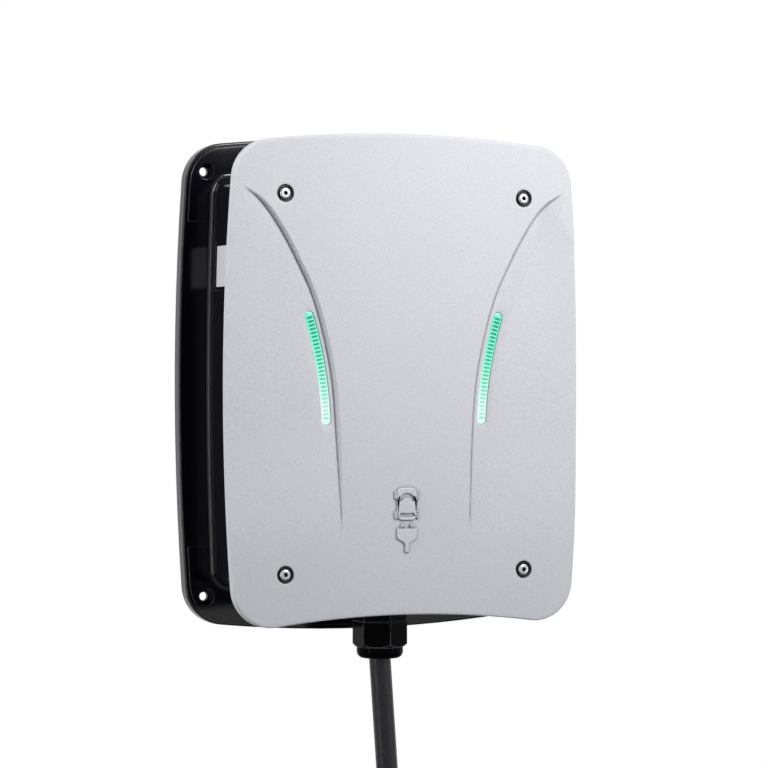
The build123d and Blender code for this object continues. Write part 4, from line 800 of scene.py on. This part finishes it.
def addPanel():
    mesh = bmesh.new()
    rim, sheet = panel["edgeRadius"], panel["sheet"]
    seat = panel["face"] - panel["recessDepth"]
    slotHalf = light["width"] / 2 + light["gap"]
    loops = {"outline": insetOutline(rim)}
    backLoops = {"outline": insetOutline(sheet)}
    for number, middle in enumerate(screwPlaces):
        recess = panel["recessRadius"] + panel["recessRim"]
        loops["screw" + str(number)] = circleLoop(middle, recess)
        backLoops["screw" + str(number)] = circleLoop(middle, panel["cupRadius"])
    for side in (-1, 1):
        loops["slot" + str(side)] = slotLoop(side, slotHalf + light["slotRim"])
        backLoops["slot" + str(side)] = slotLoop(side, slotHalf)
    guides = creaseGuides(grid["frontRows"], grid["frontStep"])
    guides += [(insetOutline(inset), grid["rimGap"]) for inset in grid["rimRows"]]
    for middle in screwPlaces:
        for radius in grid["screwRows"]:
            row = circleLoop(middle, radius, grid["screwRowPoints"])
            guides.append((row, grid["screwGap"]))
    front = layFace(
        mesh, loops, guides, grid["lattice"], lambda x, z: panelFace(x, z, panel["grooveDepth"]),
    )
    back = layFace(
        mesh, backLoops, creaseGuides(grid["backRows"], grid["backStep"]), grid["backLattice"],
        lambda x, z: panelFace(x, z) - sheet,
    )
    ring = front["outline"]
    faceDepths = [panelFace(p.x, p.y) for p in loops["outline"]]
    for turn in (18, 36, 54, 72, 90):
        angle = math.radians(turn)
        inset = rim * (1 - math.sin(angle))
        drop = rim * (1 - math.cos(angle))
        ring = addRing(mesh, ring, insetOutline(inset), [depth - drop for depth in faceDepths])
    lip, low, part = panel["lipRadius"], panel["back"], grid["roundMiddle"]
    for inset, depth in (
        (0, low + lip), (lip * part, low + lip * part), (lip, low),
        (sheet - lip, low), (sheet - lip * part, low + lip * part), (sheet, low + lip),
    ):
        ring = addRing(mesh, ring, insetOutline(inset), [depth] * len(ring))
    joinRings(mesh, ring, back["outline"])
    for number, middle in enumerate(screwPlaces):
        name = "screw" + str(number)
        ring = front[name]
        r, soft, seatRim = panel["recessRadius"], panel["recessRim"], panel["seatRim"]
        for radius, depth in (
            (r + soft * part, panel["face"] - soft * part), (r, panel["face"] - soft),
            (r, seat + seatRim), (r - seatRim, seat), (panel["holeRadius"], seat),
            (panel["holeRadius"], seat - sheet), (panel["cupRadius"], seat - sheet),
        ):
            ring = addRing(mesh, ring, circleLoop(middle, radius), [depth] * len(ring))
        joinRings(mesh, ring, back[name])
    for side in (-1, 1):
        name = "slot" + str(side)
        ring = front[name]
        soft = light["slotRim"]
        for extra, drop in ((soft * part, soft * part), (0.0, soft)):
            loop = slotLoop(side, slotHalf + extra)
            ring = addRing(mesh, ring, loop, [panelFace(p.x, p.y) - drop for p in loop])
        joinRings(mesh, ring, back[name])
    bmesh.ops.recalc_face_normals(mesh, faces=mesh.faces)
    data = bpy.data.meshes.new("frontPanelSheet")
    mesh.to_mesh(data)
    mesh.free()
    piece = keepPiece("frontPanelSheet", data, [materials["satinPowderCoat"]], 50)
    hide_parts("front_panel")
    print("front panel:", len(data.vertices), "verts")


addPanel()

# Raised sign low on the panel: a generic car seen from above, and a plug.
sign = {
    "height": 1.5, "round": 1.0,
    "carTop": -79.0, "carLow": -104.0, "carHalf": 8.4, "carCorner": 4.6,
    # windows: half widths above and below, heights at their sides, and how far each edge bows
    "windscreen": (6.9, 5.4, -87.5, -89.5, 4.0, 3.0),
    "rearWindow": (5.4, 6.55, -98.5, -100.5, -0.5, -1.0),
    "wheelHalf": 3.1, "wheelPlaces": (-84.75, -100.0), "wheelIn": 7.8, "wheelOut": 10.3,
    "wheelCorner": 0.7,
    "plugTop": -110.0, "plugHalf": 8.4, "plugSide": -117.6, "neckTop": -121.2, "neckLow": -128.6,
    "neckHalf": 1.9, "neckFlare": 0.6, "neckFlareHeight": 0.8,
    "prongTop": -106.7, "prongX": 3.8, "prongHalf": 1.5, "prongCorner": 0.5, "prongGap": 0.1,
}


def roundedLoop(left, right, low, high, radius, count=6):
    corners = [
        (right - radius, high - radius, 0), (left + radius, high - radius, 90),
        (left + radius, low + radius, 180), (right - radius, low + radius, 270),
    ]
    loop = []
    for x, z, first in corners:
        for i in range(count + 1):
            turn = math.radians(first + 90 * i / count)
            loop.append(Vector((x + radius * math.cos(turn), z + radius * math.sin(turn))))
    return loop


def bowedBand(halfTop, halfLow, top, low, bowTop, bowLow):
    # a window: upper and lower edges are shallow arcs
    loop = []
    for i in range(9):
        t = i / 4 - 1
        loop.append(Vector((t * halfTop, top + bowTop * (1 - t * t))))
    for i in range(9):
        t = 1 - i / 4
        loop.append(Vector((t * halfLow, low + bowLow * (1 - t * t))))
    return loop


def addSign():
    s = sign
    loops = [
        roundedLoop(-s["carHalf"], s["carHalf"], s["carLow"], s["carTop"], s["carCorner"]),
        bowedBand(*s["windscreen"]), bowedBand(*s["rearWindow"]),
    ]
    for side in (-1, 1):
        inner, outer = s["wheelIn"], s["wheelOut"]
        left, right = (inner, outer) if side > 0 else (-outer, -inner)
        for middle in s["wheelPlaces"]:
            low, high = middle - s["wheelHalf"], middle + s["wheelHalf"]
            loops.append(roundedLoop(left, right, low, high, s["wheelCorner"]))
        x = side * s["prongX"]
        low = s["plugTop"] + s["prongGap"]
        left, right = x - s["prongHalf"], x + s["prongHalf"]
        loops.append(roundedLoop(left, right, low, s["prongTop"], s["prongCorner"]))
    flare = s["neckTop"] - s["neckFlareHeight"]
    half = [
        (s["neckHalf"], s["neckLow"]), (s["neckHalf"], flare),
        (s["neckHalf"] + s["neckFlare"], s["neckTop"]), (s["plugHalf"], s["plugSide"]),
        (s["plugHalf"], s["plugTop"]),
    ]
    loops.append([Vector(p) for p in half] + [Vector((-x, z)) for x, z in reversed(half)])
    curve = bpy.data.curves.new("raisedSign", "CURVE")
    curve.dimensions = "2D"
    curve.fill_mode = "BOTH"
    curve.extrude = s["height"] * mm
    curve.bevel_depth = s["round"] * mm
    curve.bevel_resolution = 2
    curve.offset = -s["round"] * mm
    for loop in loops:
        spline = curve.splines.new("POLY")
        spline.points.add(len(loop) - 1)
        for control, point in zip(spline.points, loop):
            control.co = (point.x * mm, point.y * mm, 0, 1)
        spline.use_cyclic_u = True
    pattern = bpy.data.objects.new("signPattern", curve)
    scene.collection.objects.link(pattern)
    data = bpy.data.meshes.new_from_object(pattern)
    bpy.data.objects.remove(pattern)
    # the pattern lies flat: stand it up, its middle sunk behind the panel's face by its rounding
    seat = Matrix.Translation(place(0, panel["face"] - s["round"], 0))
    data.transform(seat @ Matrix.Rotation(math.pi / 2, 4, "X"))
    data.materials.clear()
    keepPiece("raisedSign", data, [materials["satinPowderCoat"]], 60)
    print("sign:", len(loops), "outlines")


addSign()

lightRamps = {
    "body": [
        (0.0, "dcfff4"), (0.12, "f0fffb"), (0.3, "cbffee"), (0.55, "93fbdb"), (0.94, "6ff0ca"),
        (1.0, "c4fdec"),
    ],
    "ribs": [
        (0.0, "96e3ca"), (0.12, "bdf1e1"), (0.28, "8ae1c4"), (0.5, "4cc49e"), (0.78, "25a780"),
        (1.0, "1ea079"),
    ],
}
lightHeights = (light["bottom"], light["top"])
bodyFinish = litAcrylicMaterial("litAcrylic", lightRamps["body"], lightHeights, 0.35, 0.5)
ribFinish = litAcrylicMaterial("litAcrylicRibs", lightRamps["ribs"], lightHeights, 0.3, 0.1)


def lightFace(x, z):  # depth of a light's front, slightly crowned across
    across = abs((Vector((abs(x), z)) - lightCentre).length - lightRadius) / (light["width"] / 2)
    return panelFace(x, z) + light["crown"] * (1 - min(across, 1.0) ** 2) - light["sunk"]


def addLights():
    half, rim = light["width"] / 2, light["rim"]
    for side, word in ((-1, "Left"), (1, "Right")):
        mesh = bmesh.new()
        loops = {"outline": slotLoop(side, half - rim)}
        guides = []
        for offset in grid["lightRows"]:
            radius = lightRadius + offset
            row = arcPoints(lightCentre, radius, lightFoot, lightHead, grid["lightRowPoints"])
            guides.append(([Vector((side * p.x, p.y)) for p, n in row], grid["lightGap"]))
        ring = layFace(mesh, loops, guides, grid["lightLattice"], lightFace)["outline"]
        for part in (0.35, 0.75, 1.0):
            loop = slotLoop(side, half - rim * (1 - part))
            sunk = rim * (1 - math.sqrt(1 - part ** 2))
            ring = addRing(mesh, ring, loop, [lightFace(p.x, p.y) - sunk for p in loop])
        ring = addRing(mesh, ring, slotLoop(side, half), [light["backDepth"]] * len(ring))
        mesh.faces.new(ring)
        places = arcPoints(lightCentre, lightRadius, lightFoot, lightHead, light["ribs"] * 2)
        last = light["ribPoints"] - 1
        for spot, outward in places[1::2]:
            along = Vector((-outward.y, outward.x))
            rows = []  # a rib is blunt: it narrows and sinks only near its ends
            for s in light["ribStations"]:
                halfWidth = light["ribHalfWidth"] * math.sqrt(max(1 - abs(s) ** 5, 0.02))
                row = []
                for k in range(last + 1):
                    turn = math.pi * k / last
                    point = spot + outward * s * light["ribHalfLength"]
                    point += along * halfWidth * math.cos(turn)
                    x, z = side * point.x, point.y
                    lift = light["ribHeight"] * math.sin(turn) * math.sqrt(max(1 - s ** 4, 0.05))
                    lift -= light["ribSunk"]
                    row.append(mesh.verts.new(place(x, lightFace(x, z) + lift, z)))
                rows.append(row)
            for first, second in zip(rows, rows[1:]):
                for k in range(last):
                    face = mesh.faces.new((first[k], first[k + 1], second[k + 1], second[k]))
                    face.material_index = 1
        bmesh.ops.recalc_face_normals(mesh, faces=mesh.faces)
        data = bpy.data.meshes.new("lightGuide" + word)
        mesh.to_mesh(data)
        mesh.free()
        piece = keepPiece("lightGuide" + word, data, [bodyFinish, ribFinish], 45)
        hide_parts("light_guide_" + word.lower())
    print("lights:", light["ribs"], "ribs each")


addLights()

# Studio: white behind, soft lights, and a pale floor that leaves room for the connector's cap.
studio = {
    "floorZ": -0.875, "floorSize": 3.2, "ambient": 0.06, "ambientColour": "d3deff",
    "lamps": [
        # name, place, aim, width, height, watts, spread in degrees
        ("keySoftbox", (0.5, -1.15, 0.62), (0.06, -0.1, 0.2), 0.5, 0.5, 4.75, 90),
        ("leftStrip", (-1.2, -0.12, 0.95), (0.0, -0.1, -0.1), 0.14, 0.9, 15.0, 180),
        ("leftReflector", (-1.15, -0.32, -0.05), (0.0, -0.1, -0.05), 0.03, 1.1, 3.0, 180),
        ("rightStrip", (0.95, -1.0, -0.45), (0.0, -0.1, -0.4), 0.08, 0.8, 1.2, 180),
    ],
}


def addWorld():  # white where it is seen or mirrored, a faint cool light on all else
    world = bpy.data.worlds.new("studioWorld")
    scene.world = world
    world.use_nodes = True
    tree = world.node_tree
    tree.nodes.clear()
    rays = addNode(tree, "LightPath")
    direct = addNode(tree, "Math", {
        0: rays.outputs["Is Camera Ray"], 1: rays.outputs["Is Glossy Ray"],
    }, operation="MAXIMUM")
    seen = addNode(tree, "Math", {
        0: direct.outputs[0], 1: rays.outputs["Is Transmission Ray"],
    }, operation="MAXIMUM")
    soft = addNode(tree, "Background", {
        "Color": linearColour(studio["ambientColour"]), "Strength": studio["ambient"],
    })
    white = addNode(tree, "Background", {"Color": linearColour("ffffff"), "Strength": 1.0})
    both = addNode(tree, "MixShader", {
        "Fac": seen.outputs[0], 1: soft.outputs["Background"], 2: white.outputs["Background"],
    })
    addNode(tree, "OutputWorld", {"Surface": both.outputs["Shader"]})


def addLamps():
    for name, spot, aim, width, height, watts, spread in studio["lamps"]:
        data = bpy.data.lights.new(name, "AREA")
        data.shape = "RECTANGLE"
        data.size, data.size_y, data.energy = width, height, watts
        data.spread = math.radians(spread)
        lamp = bpy.data.objects.new(name, data)
        lamp.location = spot
        lamp.rotation_euler = (Vector(aim) - Vector(spot)).to_track_quat("-Z", "Y").to_euler()
        scene.collection.objects.link(lamp)


def addFloor():
    # painted plaster: pale, matt, very slightly clouded
    material, tree, spot = surfaceTree("paleFloor")
    clouds = addNode(tree, "TexNoise", {"Vector": spot, "Scale": 3.0, "Detail": 3.0})
    colour = addNode(tree, "MixRGB", {
        "Fac": clouds.outputs["Fac"], "Color1": linearColour("e8e8ea"),
        "Color2": linearColour("f0f0f1"),
    })
    shader = addNode(tree, "BsdfPrincipled", {
        "Base Color": colour.outputs["Color"], "Roughness": 0.8,
    })
    addNode(tree, "OutputMaterial", {"Surface": shader.outputs["BSDF"]})
    half = studio["floorSize"] / 2
    data = bpy.data.meshes.new("floor")
    corners = [(-half, -half, 0), (half, -half, 0), (half, half, 0), (-half, half, 0)]
    data.from_pydata(corners, [], [(0, 1, 2, 3)])
    data.materials.append(material)
    floor = bpy.data.objects.new("floor", data)
    floor.location = (0, 0, studio["floorZ"])
    scene.collection.objects.link(floor)


addWorld()
addLamps()
addFloor()
scene.view_settings.view_transform = "Standard"
print("studio ready")
